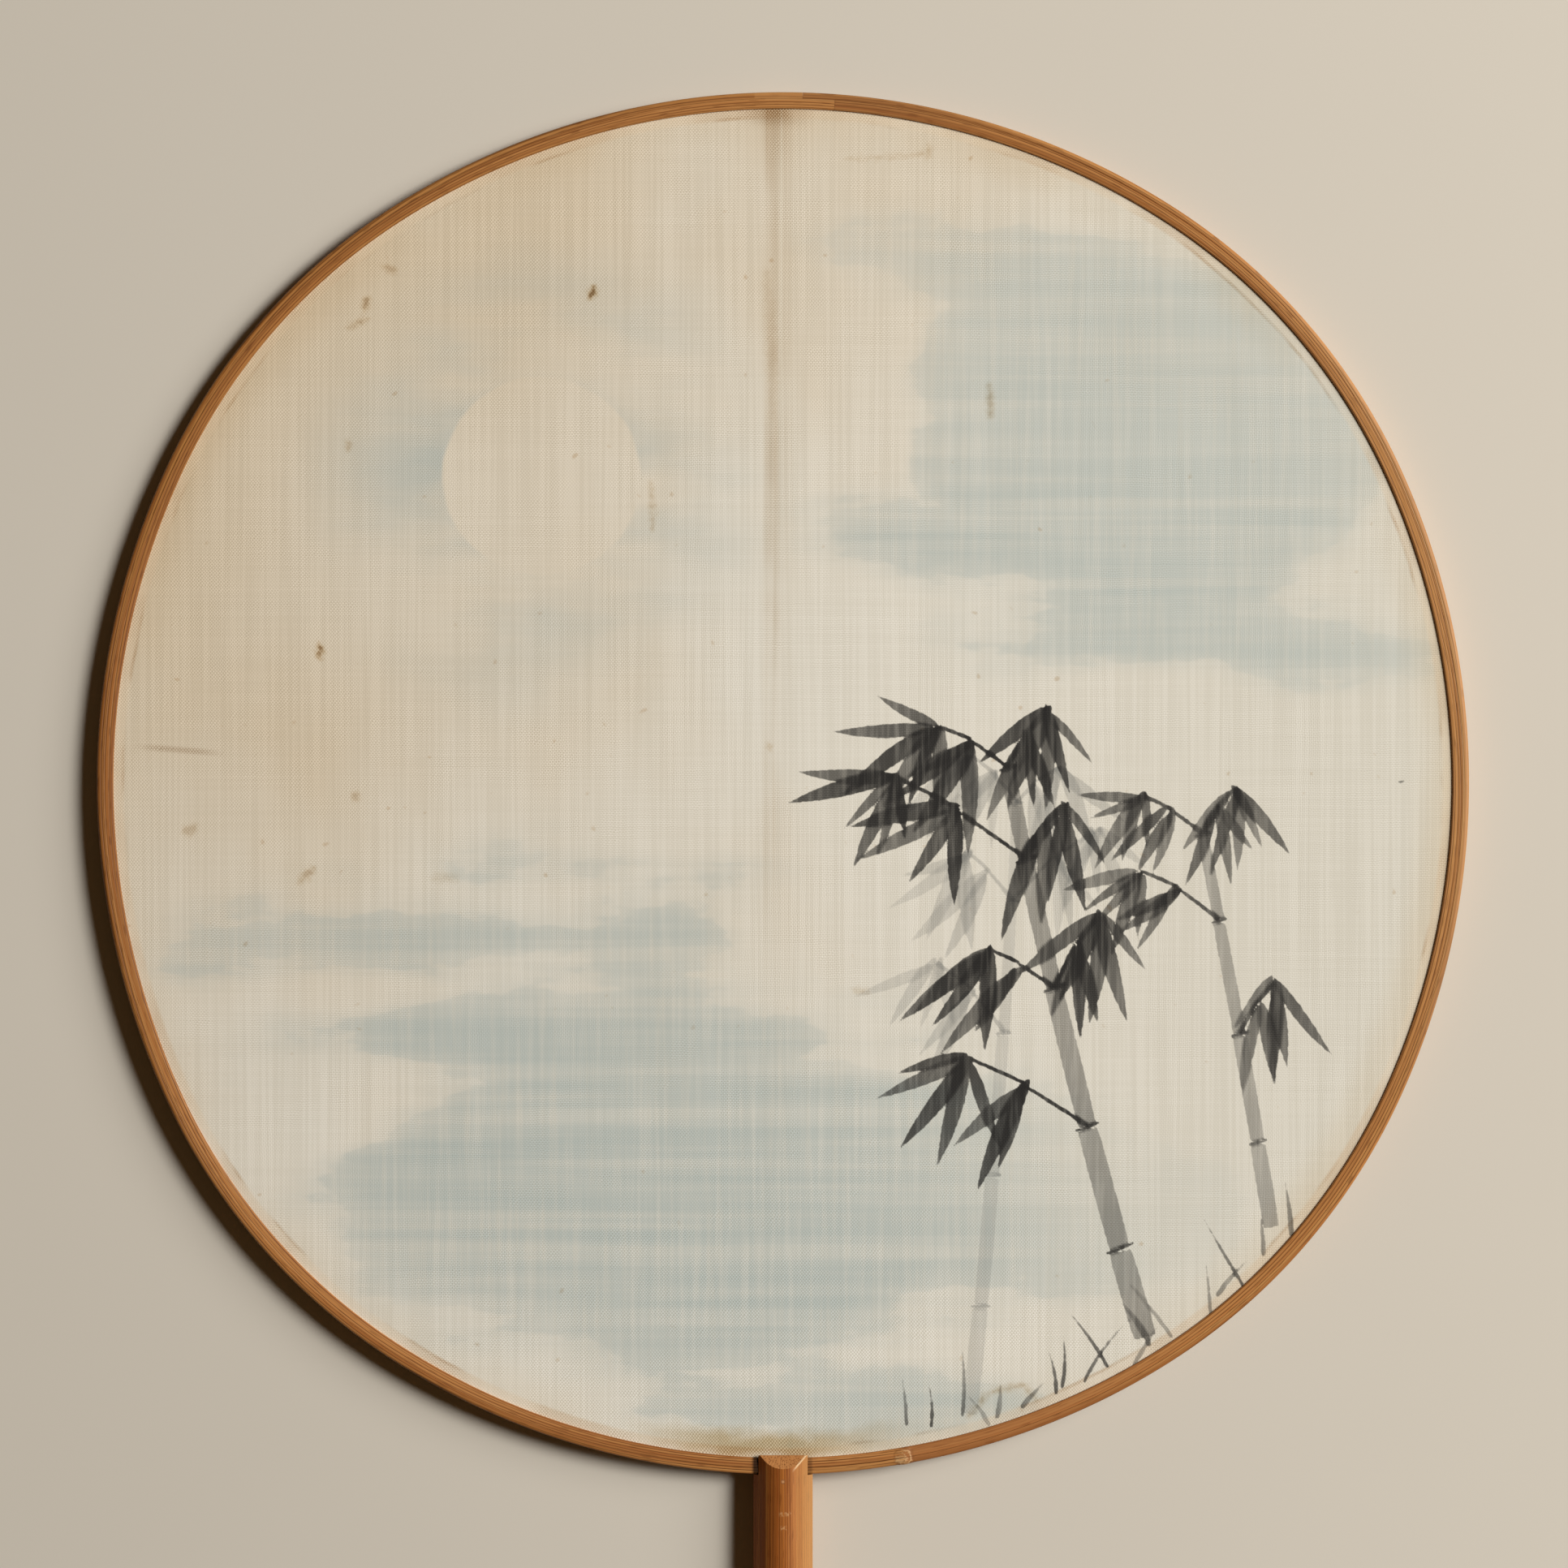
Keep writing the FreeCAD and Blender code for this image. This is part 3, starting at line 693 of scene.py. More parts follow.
def silk_material():
    """Aged silk: threads, tan patches, cool washes, the wood behind, foxing, rust and ink."""
    material, tree, shader = new_material("painted_silk")
    place = add_node(tree, "Mapping", {"Vector": object_place(tree), "Location": -hoop_middle})
    x, y = parts_of(place)[:2]
    patch = noise_of(place, (14, 10, 1), 4.0)
    pressed = noise_of(place, (55, 55, 1), 3.0)

    # The upper left has aged most, but the cloth by the moon has stayed fresher.
    age = rise_of(patch + (2.4 * y - 3.4 * x), 0.42, 1.0)
    fresher = rise_of(distance_of(x + 62 * mm, y - 44 * mm), 52 * mm, 8 * mm)
    age = age * (1.0 - 0.5 * fresher)
    cloth = washed_cloth(place, aged_cloth(place, age))

    # Old cloth has open gaps where the threads cross, as has the foot of the cloth; fresher cloth
    # shows more as single fine threads.
    sway = 0.8 * mm * (noise_of(place, (90, 90, 1), 3.0) - 0.5)
    jolt = 0.35 * mm * (noise_of(place, (800, 800, 1), 1.0) - 0.5)
    warp_way = x + sway + jolt
    weft_way = y - sway - jolt
    open_warp = 0.563 * mm
    open_weft = 0.65 * mm
    fine_warp = 0.395 * mm
    fine_weft = 0.41 * mm
    crossed = wave_of(warp_way, open_warp) * wave_of(weft_way, open_weft)
    upright = rise_of(noise_of(place, (60, 14, 1), 3.0), 0.42, 0.62)
    level = rise_of(noise_of(place, (14, 60, 1), 3.0), 0.34, 0.56)
    warps = wave_of(warp_way, fine_warp) * (0.6 * upright)
    wefts = wave_of(weft_way, fine_weft) * (0.8 * level)
    from_foot = distance_of(x, y + 125 * mm)
    bared = age.reckon("MAXIMUM", rise_of(from_foot, 105 * mm, 25 * mm))
    opened = 0.5 * bared + 0.35
    weave = crossed * opened + (warps + wefts) * (1.0 - opened)
    gap = 0.5 - 0.5 * weave

    # Over the stretcher the pasted cloth is warmer and ends in a patchy line of brown paste.
    margin = attribute_of(tree, "margin")
    ledge = rise_of(margin, 2.1 * mm, 1.3 * mm)
    stained = rise_of(margin, 9 * mm, 0.0) * rise_of(patch, 0.40, 0.68)
    cloth = shade_of(0.7 * stained, cloth, (0.90, 0.80, 0.66, 1))
    cloth = mix_of(ledge * (0.6 * pressed), cloth, srgb(232, 206, 170))
    pasted = rise_of(noise_of(place, (60, 60, 1), 3.0), 0.48, 0.66)
    paste_off = margin + 1.4 * mm * (pressed - 0.5)
    paste = near_of(paste_off, 1.75 * mm, 0.5 * mm, 0.05 * mm) * pasted * (0.7 * gap + 0.2)
    cloth = shade_of(paste, cloth, (0.66, 0.52, 0.38, 1))

    # The spine shows through as a soft brown band, strongest at the top, with a pale thread on it.
    dark_side = 0.75 * near_of(x, -2.3 * mm, 1.9 * mm, 0.5 * mm)
    pale_side = 0.35 * near_of(x, -0.2 * mm, 2.6 * mm, 0.6 * mm)
    fibrous = rise_of(noise_of(place, (700, 9, 1)), 0.34, 0.62)
    blotchy = rise_of(noise_of(place, (70, 30, 1), 3.0), 0.36, 0.62)
    shown = (0.6 * fibrous + 0.3) * (0.7 * blotchy + 0.3) * rise_of(y, -130 * mm, 95 * mm)
    band = (dark_side + pale_side) * shown
    cloth = shade_of(0.5 * band, cloth, (0.86, 0.77, 0.62, 1))
    thread = near_of(x, -0.25 * mm, 0.2 * mm, 0.06 * mm) * rise_of(y, 50 * mm, 110 * mm)
    cloth = mix_of(0.5 * thread, cloth, srgb(238, 228, 206))

    # Paste has squeezed through where the spine meets the hoop, at the top and at the handle.
    top_paste = rise_of(margin, 4.2 * mm, 0.6 * mm) * near_of(x, -1.2 * mm, 8 * mm, 1 * mm)
    top_paste = top_paste * rise_of(y, 100 * mm, 110 * mm) * rise_of(pressed, 0.30, 0.55)
    below = near_of(x, -1.0 * mm, 4.6 * mm) * rise_of(y, 106 * mm, 122 * mm)
    smudge = 0.5 * (top_paste + 0.4 * below)
    cloth = shade_of(smudge, cloth, (0.82, 0.74, 0.63, 1))
    squeezed = noise_of(place, (140, 220, 1), 4.0)
    foot_off = margin + 5 * mm * (squeezed - 0.5)
    foot_paste = near_of(foot_off, 2.2 * mm, 3.6 * mm, 0.5 * mm)
    foot_paste = foot_paste * near_of(x, -3 * mm, 30 * mm, 3 * mm)
    foot_paste = foot_paste * rise_of(y, -100 * mm, -112 * mm)
    cloth = shade_of(foot_paste, cloth, (0.85, 0.75, 0.55, 1))

    # Gaps in the weave are darker, and darkest where brown wood or a stained weft lies behind.
    weft_line = near_of(y + 0.08 * x, -2.7 * mm, 0.9 * mm, 0.1 * mm)
    weft_line = weft_line * near_of(x, -110 * mm, 9 * mm, 3 * mm)
    behind = (0.85 * band + 0.8 * weft_line) + (1.5 * smudge + 0.8 * foot_paste)
    behind = behind + ledge * (0.45 * rise_of(pressed, 0.42, 0.66))
    loose = rise_of(noise_of(place, (150, 150, 1), 4.0), 0.36, 0.62)
    woven = (bared + 0.45) * (0.9 * loose + 0.25)
    knit = mix_of(gap, (1.25, 1.27, 1.32, 1), (0.76, 0.74, 0.69, 1))
    cloth = shade_of(woven, cloth, knit)
    cloth = shade_of(gap * behind, cloth, (0.50, 0.38, 0.27, 1))

    # Foxing and rust lie in the cloth; last comes the ink, thinner on the tops of the threads.
    spot = rise_of(noise_of(place, (330, 330, 1), 1.0), 0.74, 0.82)
    cloth = shade_of(0.5 * spot, cloth, (0.70, 0.55, 0.38, 1))
    uneven = noise_of(place, (900, 900, 1), 3.0) - 0.5
    blotched = 2.2 * mm * uneven
    rust = cover_of("rust", blotched, 0.9 * mm) * (0.4 * gap + 0.7)
    cloth = shade_of(rust, cloth, (0.60, 0.42, 0.17, 1))
    core = cover_of("rust", blotched + 0.3 * mm, 0.4 * mm)
    cloth = shade_of(core * core, cloth, (0.34, 0.22, 0.12, 1))
    ragged = 0.5 * mm * uneven + 0.08 * mm * gap
    bristle = noise_of(place, (950, 70, 1))
    wet = 0.22 * rise_of(bristle, 0.30, 0.58) + 0.78
    soaked = wet * (0.12 * gap + 0.88)
    far = deepened(cover_of("far", ragged, 0.16 * mm) * soaked)
    cloth = mix_of(far, cloth, srgb(84, 88, 88))
    near = deepened(cover_of("near", ragged, 0.12 * mm) * soaked)
    cloth = mix_of(near, cloth, srgb(38, 36, 34))
    normal = relief_of(weave, 0.012 * mm)
    set_sockets(tree, shader, {"Base Color": cloth, "Roughness": 0.85, "Normal": normal})
    shader.inputs["Specular IOR Level"].default_value = 0.2
    return material


silk.data.materials.append(silk_material())
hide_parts("silk_face")

# The rim bead: a narrow split of bamboo bent inside the band and glued over the silk's raw edge.
# Its butt lies to the right of the band's, so that the two never open together.
strip_step = 2.0 * mm
section_cuts = 3
knot_cuts = 7
butt_line = 0.02 * mm
knot_from_bottom = 22.4 * mm
knot_half = 1.5 * mm
knot_swell = 0.14 * mm
waver_depth = 0.12 * mm


def top_angle(aside):
    """The angle on the hoop's top arc at a distance to the right of the middle."""
    return math.pi / 2 - math.asin(aside / top_radius)


def bent_strip(section, rounds, butt):
    """A strip bent round the hoop, from its section's insets and heights, with rounded edges."""
    bm = bmesh.new()
    first = top_angle(butt - butt_line / 2)
    last = top_angle(butt + butt_line / 2)
    corners = []
    for inset, height in section:
        reach = top_radius - inset
        x = hoop_middle.x + reach * math.cos(first)
        y = hoop_middle.y + top_y + reach * math.sin(first)
        corners.append(bm.verts.new((x, y, height)))
    bm.faces.new(corners)
    for corner, offset in zip(corners, rounds):
        bmesh.ops.bevel(
            bm, geom=[corner], offset=offset, segments=6, profile=0.5, affect="VERTICES", material=-1
        )
    longest = 0.3 * mm
    long_edges = [edge for edge in bm.edges if edge.calc_length() > longest]
    bmesh.ops.subdivide_edges(bm, edges=long_edges, cuts=section_cuts)
    spin_round_hoop(bm, bm.verts[:] + bm.edges[:] + bm.faces[:], first, last, strip_step)
    by_knot = []
    for edge in bm.edges:
        middle = (edge.verts[0].co + edge.verts[1].co) / 2
        close = abs(middle.x - knot_from_bottom) < 2 * strip_step and middle.y < hoop_middle.y
        if close and edge.calc_length() > 0.8 * strip_step:
            by_knot.append(edge)
    bmesh.ops.subdivide_edges(bm, edges=by_knot, cuts=knot_cuts)
    return bm


def dress_strip(piece, section, butt):
    """Gives a bent strip its grain and a raised knot, and lets it waver as a hand-bent one does.

    Returns the knot's place along the grain and the whole length of the strip."""
    places = vertex_places(piece.data)
    way, inset, whole = hoop_run(places)
    bottom_way = 0.75 * whole
    butt_way = 0.25 * whole + top_radius * (top_angle(butt) - math.pi / 2)
    knot_way = bottom_way + knot_from_bottom
    along = (way - butt_way) % whole
    set_attribute(piece.data, "grain", np.stack([along, inset, places[:, 2]], axis=1))
    outward = places[:, :2] - np.array(hoop_middle.xy)
    outward /= np.linalg.norm(outward, axis=1)[:, None]
    free_of_handle = np.clip((np.abs(way - bottom_way) - 8 * mm) / (12 * mm), 0, 1)
    waver = np.array([noise.noise((1.8 * x, 1.8 * y, 0.5)) for x, y in outward])
    places[:, :2] += outward * (waver * free_of_handle * waver_depth)[:, None]
    knot = np.clip(1 - ((way - knot_way) / knot_half) ** 2, 0, 1)
    outer = section[0][0]
    lowest_front = section[2][1]
    fade = 0.3 * mm
    on_front = np.clip((places[:, 2] - lowest_front) / fade + 1, 0, 1)
    on_outside = np.clip(1 - (inset - outer) / fade, 0, 1) * (outer == 0)
    places[:, 2] += knot * on_front * knot_swell
    places[:, :2] += outward * (knot * on_outside * knot_swell)[:, None]
    piece.data.vertices.foreach_set("co", places.astype(np.float32).ravel())
    piece.data.shade_smooth()
    piece.data.set_sharp_from_angle(angle=math.radians(50))
    return (knot_way - butt_way) % whole, whole


def knot_of(past_knot, inset, run):
    """The scar of a bamboo joint: a pale ragged ring with a hairy, frayed left half, and its brim."""
    half_long = 1.35 * mm
    half_across = 1.3 * mm
    ragged = noise_of(run, (1100, 1100, 1), 3.0) - 0.5
    hair = noise_of(run, (420, 3000, 1), 3.0)
    aside = past_knot / half_long
    across = (inset - half_across) / half_across
    oval = distance_of(aside, across) + 1.3 * ragged
    on_right = rise_of(past_knot, -0.9 * mm, 0.9 * mm)
    ring = near_of(oval, 0.92, 0.24, 0.04) * rise_of(hair, 0.28, 0.52) * (0.8 * on_right + 0.2)
    frayed = distance_of(aside + 0.45, across + 0.25) + 1.4 * ragged
    scar = rise_of(frayed, 0.95, 0.45) * rise_of(hair, 0.36, 0.56)
    brim = near_of(oval, 1.25, 0.3, 0.05)
    return ring.reckon("MAXIMUM", scar), brim


def rim_material(name, colours, knot_place, whole, pale_end, pale_to, dark_end, painted_light_share):
    """Oiled brown bamboo bent with its grain: a pale, hairy knot and ends stained by the glue."""
    material, tree, shader = new_material(name)
    x, y = parts_of(object_place(tree))[:2]
    y = y - hoop_middle.y
    along, inset, level = parts_of(attribute_of(tree, "grain", "Vector"))
    past_knot = along - knot_place
    beyond = rise_of(past_knot, 0.0, 0.02 * mm)
    run = vector_of(along, inset - level + 9 * mm * beyond)
    smoother = beyond * rise_of(past_knot, 70 * mm, 20 * mm)
    before = (1.0 - beyond) * rise_of(past_knot, -60 * mm, -25 * mm)
    bold = 0.85 - 0.55 * smoother + 0.45 * before
    fibres = lay_fibres(run, 0.62 * mm, bold, colours)
    scuff = rise_of(noise_of(run, (120, 700, 1)), 0.60, 0.74)
    colour = mix_of(0.2 * scuff, fibres["Colour"], srgb(208, 156, 96))
    colour = mix_of(0.45 * smoother, colour, srgb(150, 89, 48))

    # Painted shade makes the hoop darker towards the upper left, and painted light makes it paler on
    # the right.
    painted_shade_left = rise_of(x, 20 * mm, -120 * mm) * rise_of(y, -160 * mm, 10 * mm)
    colour = shade_of(painted_shade_left, colour, (0.75, 0.69, 0.57, 1))
    # Painted light: paler on the right side of the hoop.
    pale_side = rise_of(x, 70 * mm, 112 * mm) * rise_of(y, -70 * mm, 0.0)
    colour = mix_of(pale_side * painted_light_share, colour, srgb(220, 172, 116))

    pale, brim = knot_of(past_knot, inset, run)
    colour = mix_of(0.3 * brim, colour, srgb(122, 74, 38))
    colour = mix_of(0.7 * pale, colour, srgb(226, 182, 128))

    left_end = rise_of(along, pale_end, pale_end - 0.4 * mm) * rise_of(inset, pale_to, 0.9 * pale_to)
    right_end = rise_of(along, whole - dark_end, whole - 0.2 * dark_end)
    end_edge = rise_of(along, whole - 0.25 * mm, whole - 0.05 * mm)
    colour = mix_of(0.35 * left_end, colour, srgb(204, 148, 88))
    colour = mix_of(0.4 * right_end, colour, srgb(124, 74, 38))
    colour = mix_of(0.15 * end_edge, colour, srgb(92, 52, 26))

    # Painted shadow of the handle's cheek darkens the rim in the corner beside it, strongly on its
    # left and faintly on its right.
    at_handle = rise_of(y, 8 * mm - half_height, 6 * mm - half_height)
    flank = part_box("handle")[1].x
    on_left = rise_of(x, -flank - 0.5 * mm, -flank + 0.2 * mm) * rise_of(x, 0.0, -1 * mm)
    on_right = rise_of(x, flank + 0.2 * mm, flank - 0.4 * mm) * rise_of(x, 0.0, 1 * mm)
    painted_cheek_shadow = at_handle * (0.92 * on_left + 0.4 * on_right)
    colour = mix_of(painted_cheek_shadow, colour, srgb(40, 22, 10))
    normal = relief_of(fibres["Height"] + pale, 0.035 * mm)
    sockets = {"Base Color": colour, "Roughness": fibres["Roughness"], "Normal": normal}
    set_sockets(tree, shader, sockets)
    shader.inputs["Specular IOR Level"].default_value = 0.2
    return material


bead_low, bead_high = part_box("rim_bead")
bead_outer_inset = half_width - bead_high.x
seam_height = bead_high.z - 0.08 * mm
bead_section = (
    (bead_outer_inset, bead_low.z),
    (bead_outer_inset, seam_height),
    (bead_inner_inset, bead_high.z - 0.34 * mm),
    (bead_inner_inset, bead_low.z),
)
bead_rounds = (0.04 * mm, 0.04 * mm, 0.3 * mm, 0.06 * mm)
bead_butt = 9.5 * mm
bead = finish_piece("rim_bead_strip", bent_strip(bead_section, bead_rounds, bead_butt))
bead_knot, bead_whole = dress_strip(bead, bead_section, bead_butt)
bead_colours = (srgb(198, 138, 78), srgb(166, 107, 55), srgb(116, 66, 27))
bead.data.materials.append(
    rim_material(
        "bead_bamboo",
        bead_colours,
        bead_knot,
        bead_whole,
        pale_end=13 * mm,
        pale_to=bead_outer_inset + 0.45 * mm,
        dark_end=36 * mm,
        # how much paler the right side is painted, as painted light
        painted_light_share=0.12,
    )
)
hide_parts("rim_bead")

# The rim band: the outer split of bamboo, bent round stretcher, silk edge and bead and glued.
# It is butted square just right of the top, and its lower run is slotted for the spine's tang.
glue_line = 0.03 * mm
band_inner_inset = bead_outer_inset - glue_line
band_section = (
    (0.0, hoop_low.z),
    (0.0, hoop_high.z),
    (band_inner_inset, seam_height),
    (band_inner_inset, hoop_low.z),
)
band_rounds = (0.25 * mm, 0.62 * mm, 0.04 * mm, 0.1 * mm)
band_butt = 3.6 * mm


def cut_mortise(bm):
    """Cuts the slot that the spine's tang passes through, with its four walls."""
    tang_low, tang_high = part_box("spine")
    slack = 0.1 * mm
    low = Vector((tang_low.x - slack, hoop_low.y, tang_low.z - slack))
    high = Vector((tang_high.x + slack, hoop_low.y + 2 * band_inner_inset, tang_high.z + slack))
    for axis in (0, 2):
        for level in (low, high):
            near = [face for face in bm.faces if face.calc_center_median().y < high.y + 20 * mm]
            geom = {item for face in near for item in (face, *face.edges, *face.verts)}
            cut_across(bm, list(geom), Matrix.Identity(3)[axis], level[axis])
    inside = []
    for face in bm.faces:
        middle = face.calc_center_median()
        if low.x < middle.x < high.x and low.z < middle.z < high.z and middle.y < high.y:
            inside.append(face)
    bmesh.ops.delete(bm, geom=inside, context="FACES")
    bmesh.ops.bridge_loops(bm, edges=[edge for edge in bm.edges if edge.is_boundary])
    return bm


band_bm = cut_mortise(bent_strip(band_section, band_rounds, band_butt))
band = finish_piece("rim_band_strip", band_bm)
band_knot, band_whole = dress_strip(band, band_section, band_butt)
band_colours = (srgb(194, 136, 76), srgb(162, 105, 53), srgb(112, 65, 27))
band.data.materials.append(
    rim_material(
        "band_bamboo",
        band_colours,
        band_knot,
        band_whole,
        pale_end=9 * mm,
        pale_to=2 * mm,
        dark_end=42 * mm,
        # how much paler the right side is painted, as painted light
        painted_light_share=0.32,
    )
)
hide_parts("rim_band")

# The handle: one bar of seasoned bamboo planed to eight sides and scraped slightly round, forked
# to grip the hoop front and back, and cut to a slant of end grain on both cheeks. A hole hangs it.
handle_low, handle_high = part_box("handle")
handle_axis_z = (handle_low.z + handle_high.z) / 2
half_wide = handle_high.x
half_deep = (handle_high.z - handle_low.z) / 2
facet_turn = math.radians(47)
facet_slope = math.tan(facet_turn)
crown_radius = 4.9 * mm
crown_half = crown_radius * math.sin(facet_turn)
crown_drop = crown_radius * (1 - math.cos(facet_turn))
fork_half = 2.1 * mm
cheek_edge = crown_half + (half_deep - crown_drop - fork_half) / facet_slope
slant_foot = -52.9 * mm
crown_strips = 28
same_place = 0.002 * mm
sharp_turn = math.radians(30)


def handle_bar():
    """The bar of the frame, with its loose triangles joined and its flat sides made whole."""
    bm = bmesh.new()
    bm.from_mesh(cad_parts["handle"].data)
    bmesh.ops.remove_doubles(bm, verts=bm.verts[:], dist=same_place)
    flat = math.radians(0.5)
    bmesh.ops.dissolve_limit(bm, angle_limit=flat, verts=bm.verts[:], edges=bm.edges[:])
    return bm


def scrape_round(bm):
    """Rounds the front and back into steep facets, which go on along a slant where they meet it."""
    for cut in np.linspace(-half_wide, half_wide, crown_strips)[1:-1]:
        cut_across(bm, bm.verts[:] + bm.edges[:] + bm.faces[:], (1, 0, 0), cut)
    fork_foot = hoop_low.y - 0.3 * mm
    for vert in bm.verts:
        out = abs(vert.co.x)
        rise = vert.co.z - handle_axis_z
        if vert.co.y > fork_foot and abs(rise) > fork_half - 0.01 * mm:
            out = min(out, cheek_edge)
            vert.co.x = math.copysign(out, vert.co.x)
        on_round = crown_radius - math.sqrt(crown_radius**2 - min(out, crown_half) ** 2)
        left = half_deep - on_round - facet_slope * max(0, out - crown_half)
        drop = max(0, abs(rise) - left)
        vert.co.z -= math.copysign(drop, rise)
        if vert.co.y > slant_foot - 0.001 * mm:
            vert.co.y = min(vert.co.y + drop, handle_high.y)
    bmesh.ops.remove_doubles(bm, verts=bm.verts[:], dist=same_place)
    return bm


handle = finish_piece("handle_bar", scrape_round(handle_bar()))
if "custom_normal" in handle.data.attributes:
    handle.data.attributes.remove(handle.data.attributes["custom_normal"])
handle.data.shade_smooth()
handle.data.set_sharp_from_angle(angle=sharp_turn)
eased = handle.modifiers.new("eased_arrises", "BEVEL")
eased.width = 0.15 * mm
eased.segments = 3
eased.limit_method = "ANGLE"
eased.angle_limit = sharp_turn


def handle_material():
    """Oiled red-brown bamboo with close fibre lines, and dotted end grain where it is cut."""
    material, tree, shader = new_material("handle_bamboo_oiled")
    x, y, z = parts_of(object_place(tree))
    run = vector_of(y, (z - handle_axis_z).reckon("ARCTAN2", x) * half_deep)
    colours = (srgb(176, 106, 46), srgb(149, 84, 35), srgb(110, 55, 18))
    bold = 0.75 - 0.5 * rise_of(x, -1.5 * mm, -3 * mm)
    fibres = lay_fibres(run, 0.5 * mm, bold, colours)
    rub = rise_of(noise_of(run, (8, 1500, 1), 1.0), 0.55, 0.70)
    colour = mix_of(0.3 * rub, fibres["Colour"], srgb(208, 142, 74))
    # Painted light: the side of the handle towards the lamps is paler.
    painted_lit_side = rise_of(x, 0.6 * mm, 5.4 * mm)
    colour = mix_of(0.5 * painted_lit_side, colour, srgb(214, 164, 104))

    # Two faint scuffs lie across the front, a little below the hoop.
    scuffs = ((0.4 * mm, -61.1 * mm, 1.3 * mm), (0.1 * mm, -63.6 * mm, 0.7 * mm))
    grit = rise_of(noise_of(run, (2600, 2600, 1), 1.0), 0.42, 0.60)
    for scuff_x, scuff_y, half_long in scuffs:
        beside = near_of(x, scuff_x, half_long, 0.6 * half_long)
        along = near_of(y, scuff_y, 0.6 * mm, 0.1 * mm)
        colour = mix_of(beside * along * (0.4 * grit), colour, srgb(226, 180, 126))

    facing = parts_of(add_node(tree, "NewGeometry", {}, "Normal"))[1]
    cut = rise_of(abs(facing), 0.42, 0.60)
    slant = vector_of(x, 0.7 * y, 0.7 * z)
    bundles = add_node(tree, "TexVoronoi", {"Vector": slant, "Scale": 3200.0}, "Distance")
    dots = rise_of(bundles, 0.55, 0.15)
    end_grain = mix_of(0.75 * dots, srgb(190, 128, 74), srgb(120, 68, 32))
    colour = mix_of(cut, colour, end_grain)

    # A painted highlight lies pale along the right arris of the front slant, where the surface is
    # also smoother.
    arris_x = x - crown_half + crown_drop / facet_slope
    off_arris = y - slant_foot - arris_x * facet_slope
    painted_arris_highlight = near_of(off_arris, 0.0, 0.34 * mm, 0.08 * mm) * rise_of(x, 1.5 * mm, 2.7 * mm)
    painted_arris_highlight = painted_arris_highlight * rise_of(z, handle_axis_z, handle_axis_z + 1 * mm)
    colour = mix_of(0.65 * painted_arris_highlight, colour, srgb(246, 216, 170))
    normal = relief_of(fibres["Height"], 0.03 * mm)
    roughness = fibres["Roughness"] - (0.1 * painted_arris_highlight + 0.04)
    set_sockets(tree, shader, {"Base Color": colour, "Roughness": roughness, "Normal": normal})
    shader.inputs["Specular IOR Level"].default_value = 0.14
    return material


handle.data.materials.clear()
handle.data.materials.append(handle_material())
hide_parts("handle")

# The tang peg: a thin bamboo pin driven through handle and tang and cut flush on both sides.
# Its end grain shows as a small pale dot just below the hoop.


def peg_material():
    """End grain with a pale core and a ring of dark glue."""
    material, tree, shader = new_material("peg_end_grain")
    peg_low, peg_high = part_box("tang_peg")
    peg_middle = (peg_low + peg_high) / 2
    place = object_place(tree)
    x, y = parts_of(place)[:2]
    from_core = distance_of(x - peg_middle.x, y - peg_middle.y)
    bundles = add_node(tree, "TexVoronoi", {"Vector": place, "Scale": 5000.0}, "Distance")
    core = mix_of(rise_of(bundles, 0.5, 0.2), srgb(200, 144, 88), srgb(168, 106, 56))
    colour = mix_of(rise_of(from_core, 0.10 * mm, 0.30 * mm), core, srgb(158, 96, 46))
    set_sockets(tree, shader, {"Base Color": colour, "Roughness": 0.6})
    return material


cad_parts["tang_peg"].material_slots[0].material = peg_material()

# The stage: a plain pale floor that the fan lies on with the foot of its fork and the top of its
# hoop, one soft lamp and one broad one on the right, a faint warm fill, and a camera looking down.
floor_clear = 0.02 * mm
floor_half = 2.0
floor_slope = math.atan2(hoop_low.z, hoop_high.y - slant_foot)
floor_tilt = Matrix.Rotation(floor_slope, 3, "X")
floor_bm = bmesh.new()
bmesh.ops.create_grid(floor_bm, x_segments=1, y_segments=1, size=floor_half)
bmesh.ops.rotate(floor_bm, verts=floor_bm.verts[:], cent=(0, 0, 0), matrix=floor_tilt)
bmesh.ops.translate(floor_bm, verts=floor_bm.verts[:], vec=(0, slant_foot, -floor_clear))
floor_mesh = bpy.data.meshes.new("floor")
floor_bm.to_mesh(floor_mesh)
floor_bm.free()
floor = bpy.data.objects.new("floor", floor_mesh)
bpy.context.scene.collection.objects.link(floor)


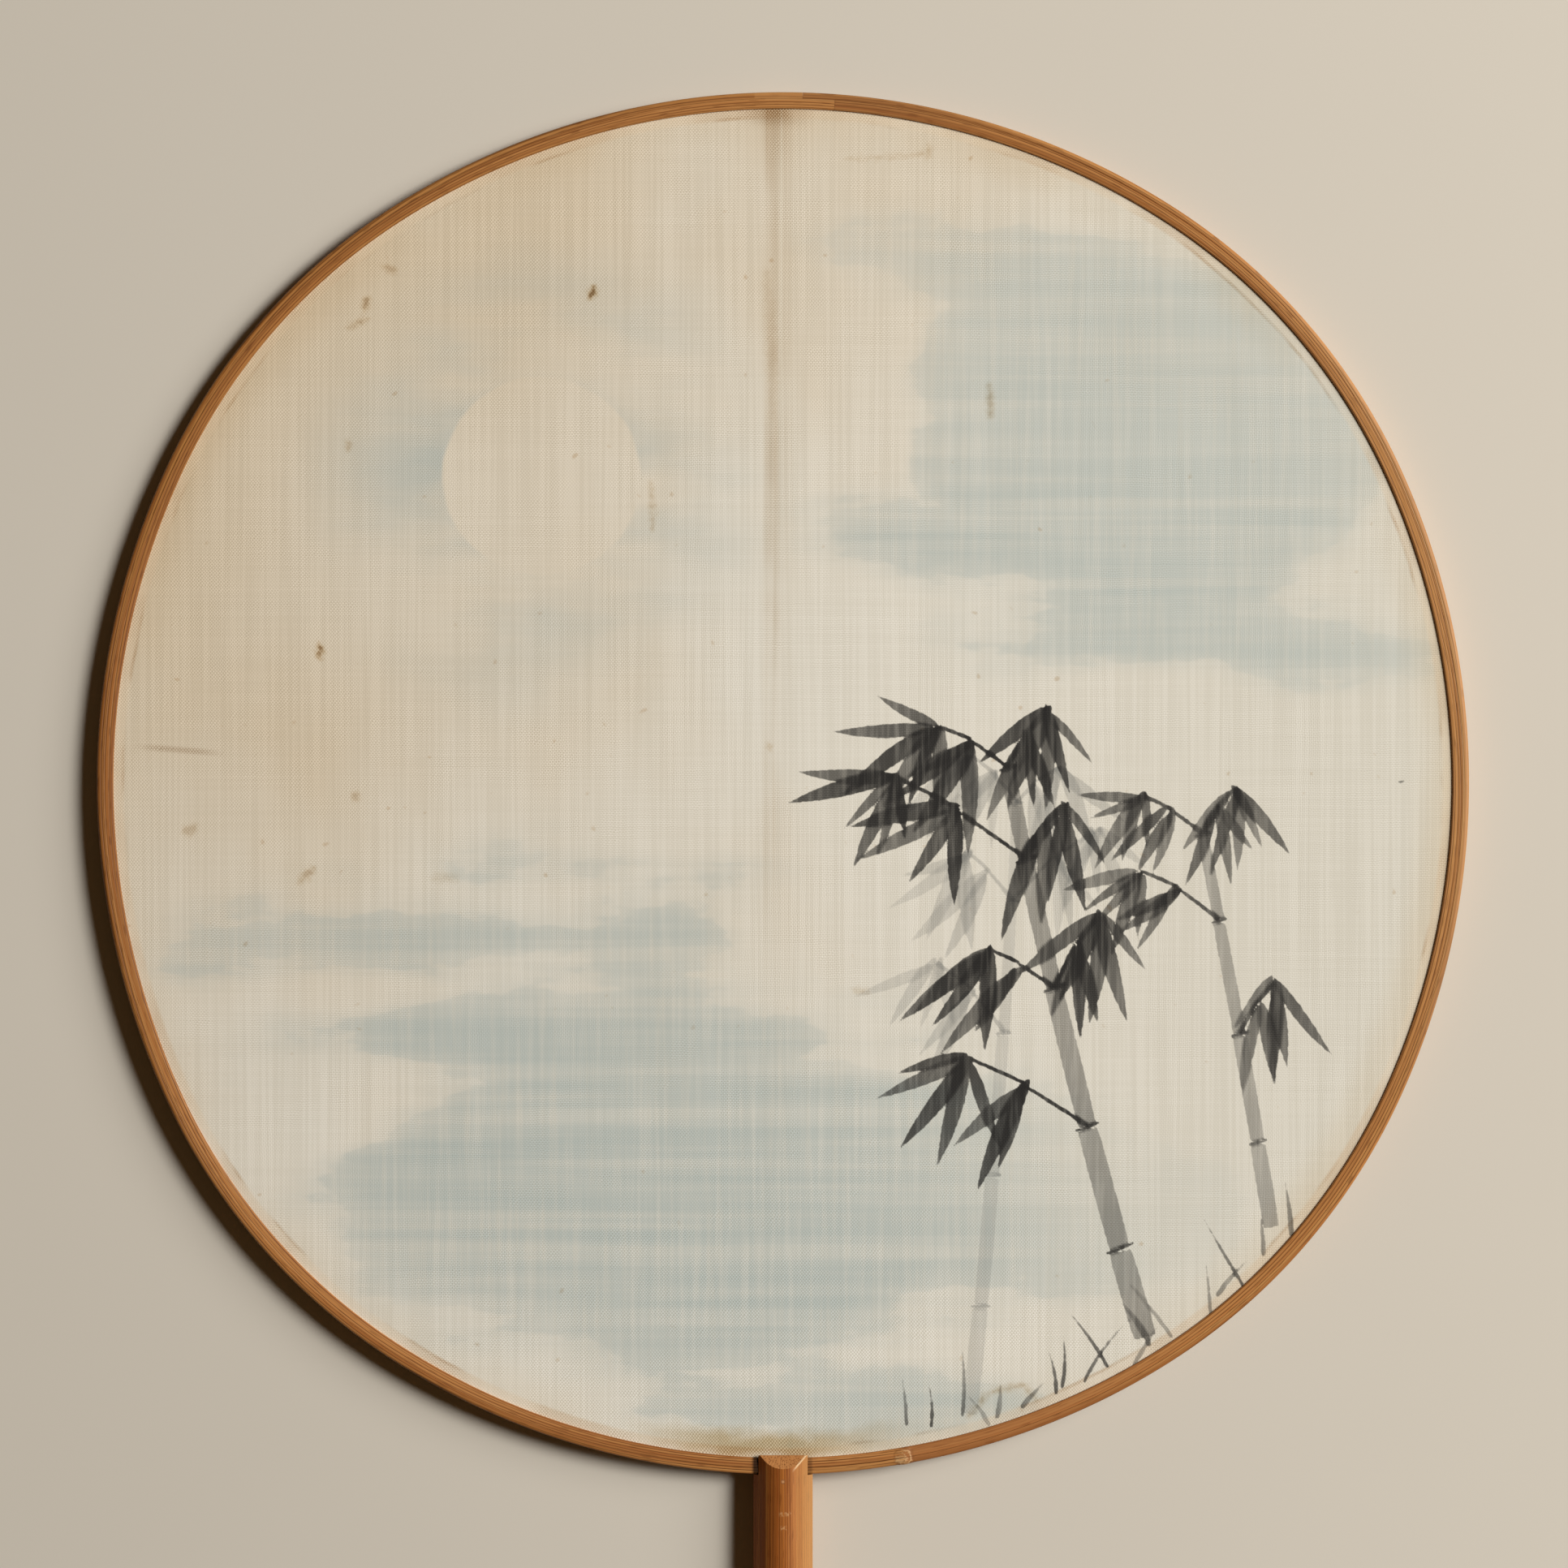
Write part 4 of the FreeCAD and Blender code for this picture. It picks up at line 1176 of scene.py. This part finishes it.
def floor_material():
    """Plain matt card, very faintly uneven."""
    material, tree, shader = new_material("pale_card")
    cloud = noise_of(object_place(tree), (7, 7, 7), 3.0)
    colour = mix_of(cloud, srgb(211, 202, 186), srgb(215, 206, 190))
    set_sockets(tree, shader, {"Base Color": colour, "Roughness": 0.95})
    return material


floor_mesh.materials.append(floor_material())

lamp_distance = 2.2
lamp_turn = math.radians(16)
for lamp_name, lamp_size, lamp_watts, lamp_rise in (
    ("soft_lamp", 0.75, 33.0, math.radians(49.5)),
    ("broad_lamp", 1.5, 27.5, math.radians(38)),
):
    level_reach = math.cos(lamp_rise)
    lamp_x = level_reach * math.cos(lamp_turn)
    lamp_y = level_reach * math.sin(lamp_turn)
    lamp_way = Vector((lamp_x, lamp_y, math.sin(lamp_rise)))
    lamp = bpy.data.lights.new(lamp_name, "AREA")
    lamp.shape = "DISK"
    lamp.size = lamp_size
    lamp.energy = lamp_watts
    lamp_object = bpy.data.objects.new(lamp_name, lamp)
    lamp_object.location = hoop_middle + lamp_way * lamp_distance
    lamp_object.rotation_mode = "QUATERNION"
    lamp_object.rotation_quaternion = lamp_way.to_track_quat("Z", "Y")
    bpy.context.scene.collection.objects.link(lamp_object)

world = bpy.data.worlds.new("warm_fill")
world.use_nodes = True
background = world.node_tree.nodes["Background"]
background.inputs["Color"].default_value = (1.0, 0.62, 0.28, 1.0)
background.inputs["Strength"].default_value = 0.045
bpy.context.scene.world = world

frame_width = 285.45 * mm
photo_size = 1932
hoop_pixel = Vector((964.8, 965.2))
camera_height = 0.9
camera = bpy.data.cameras.new("camera")
camera.sensor_width = 36.0
camera.lens = camera.sensor_width * (camera_height - hoop_high.z) / frame_width
camera_object = bpy.data.objects.new("camera", camera)
off_middle = (Vector((photo_size, photo_size)) / 2 - hoop_pixel) * frame_width / photo_size
camera_x = hoop_middle.x + off_middle.x
camera_y = hoop_middle.y - off_middle.y
camera_object.location = (camera_x, camera_y, camera_height)
bpy.context.scene.collection.objects.link(camera_object)
bpy.context.scene.camera = camera_object
bpy.context.scene.view_settings.view_transform = "Standard"
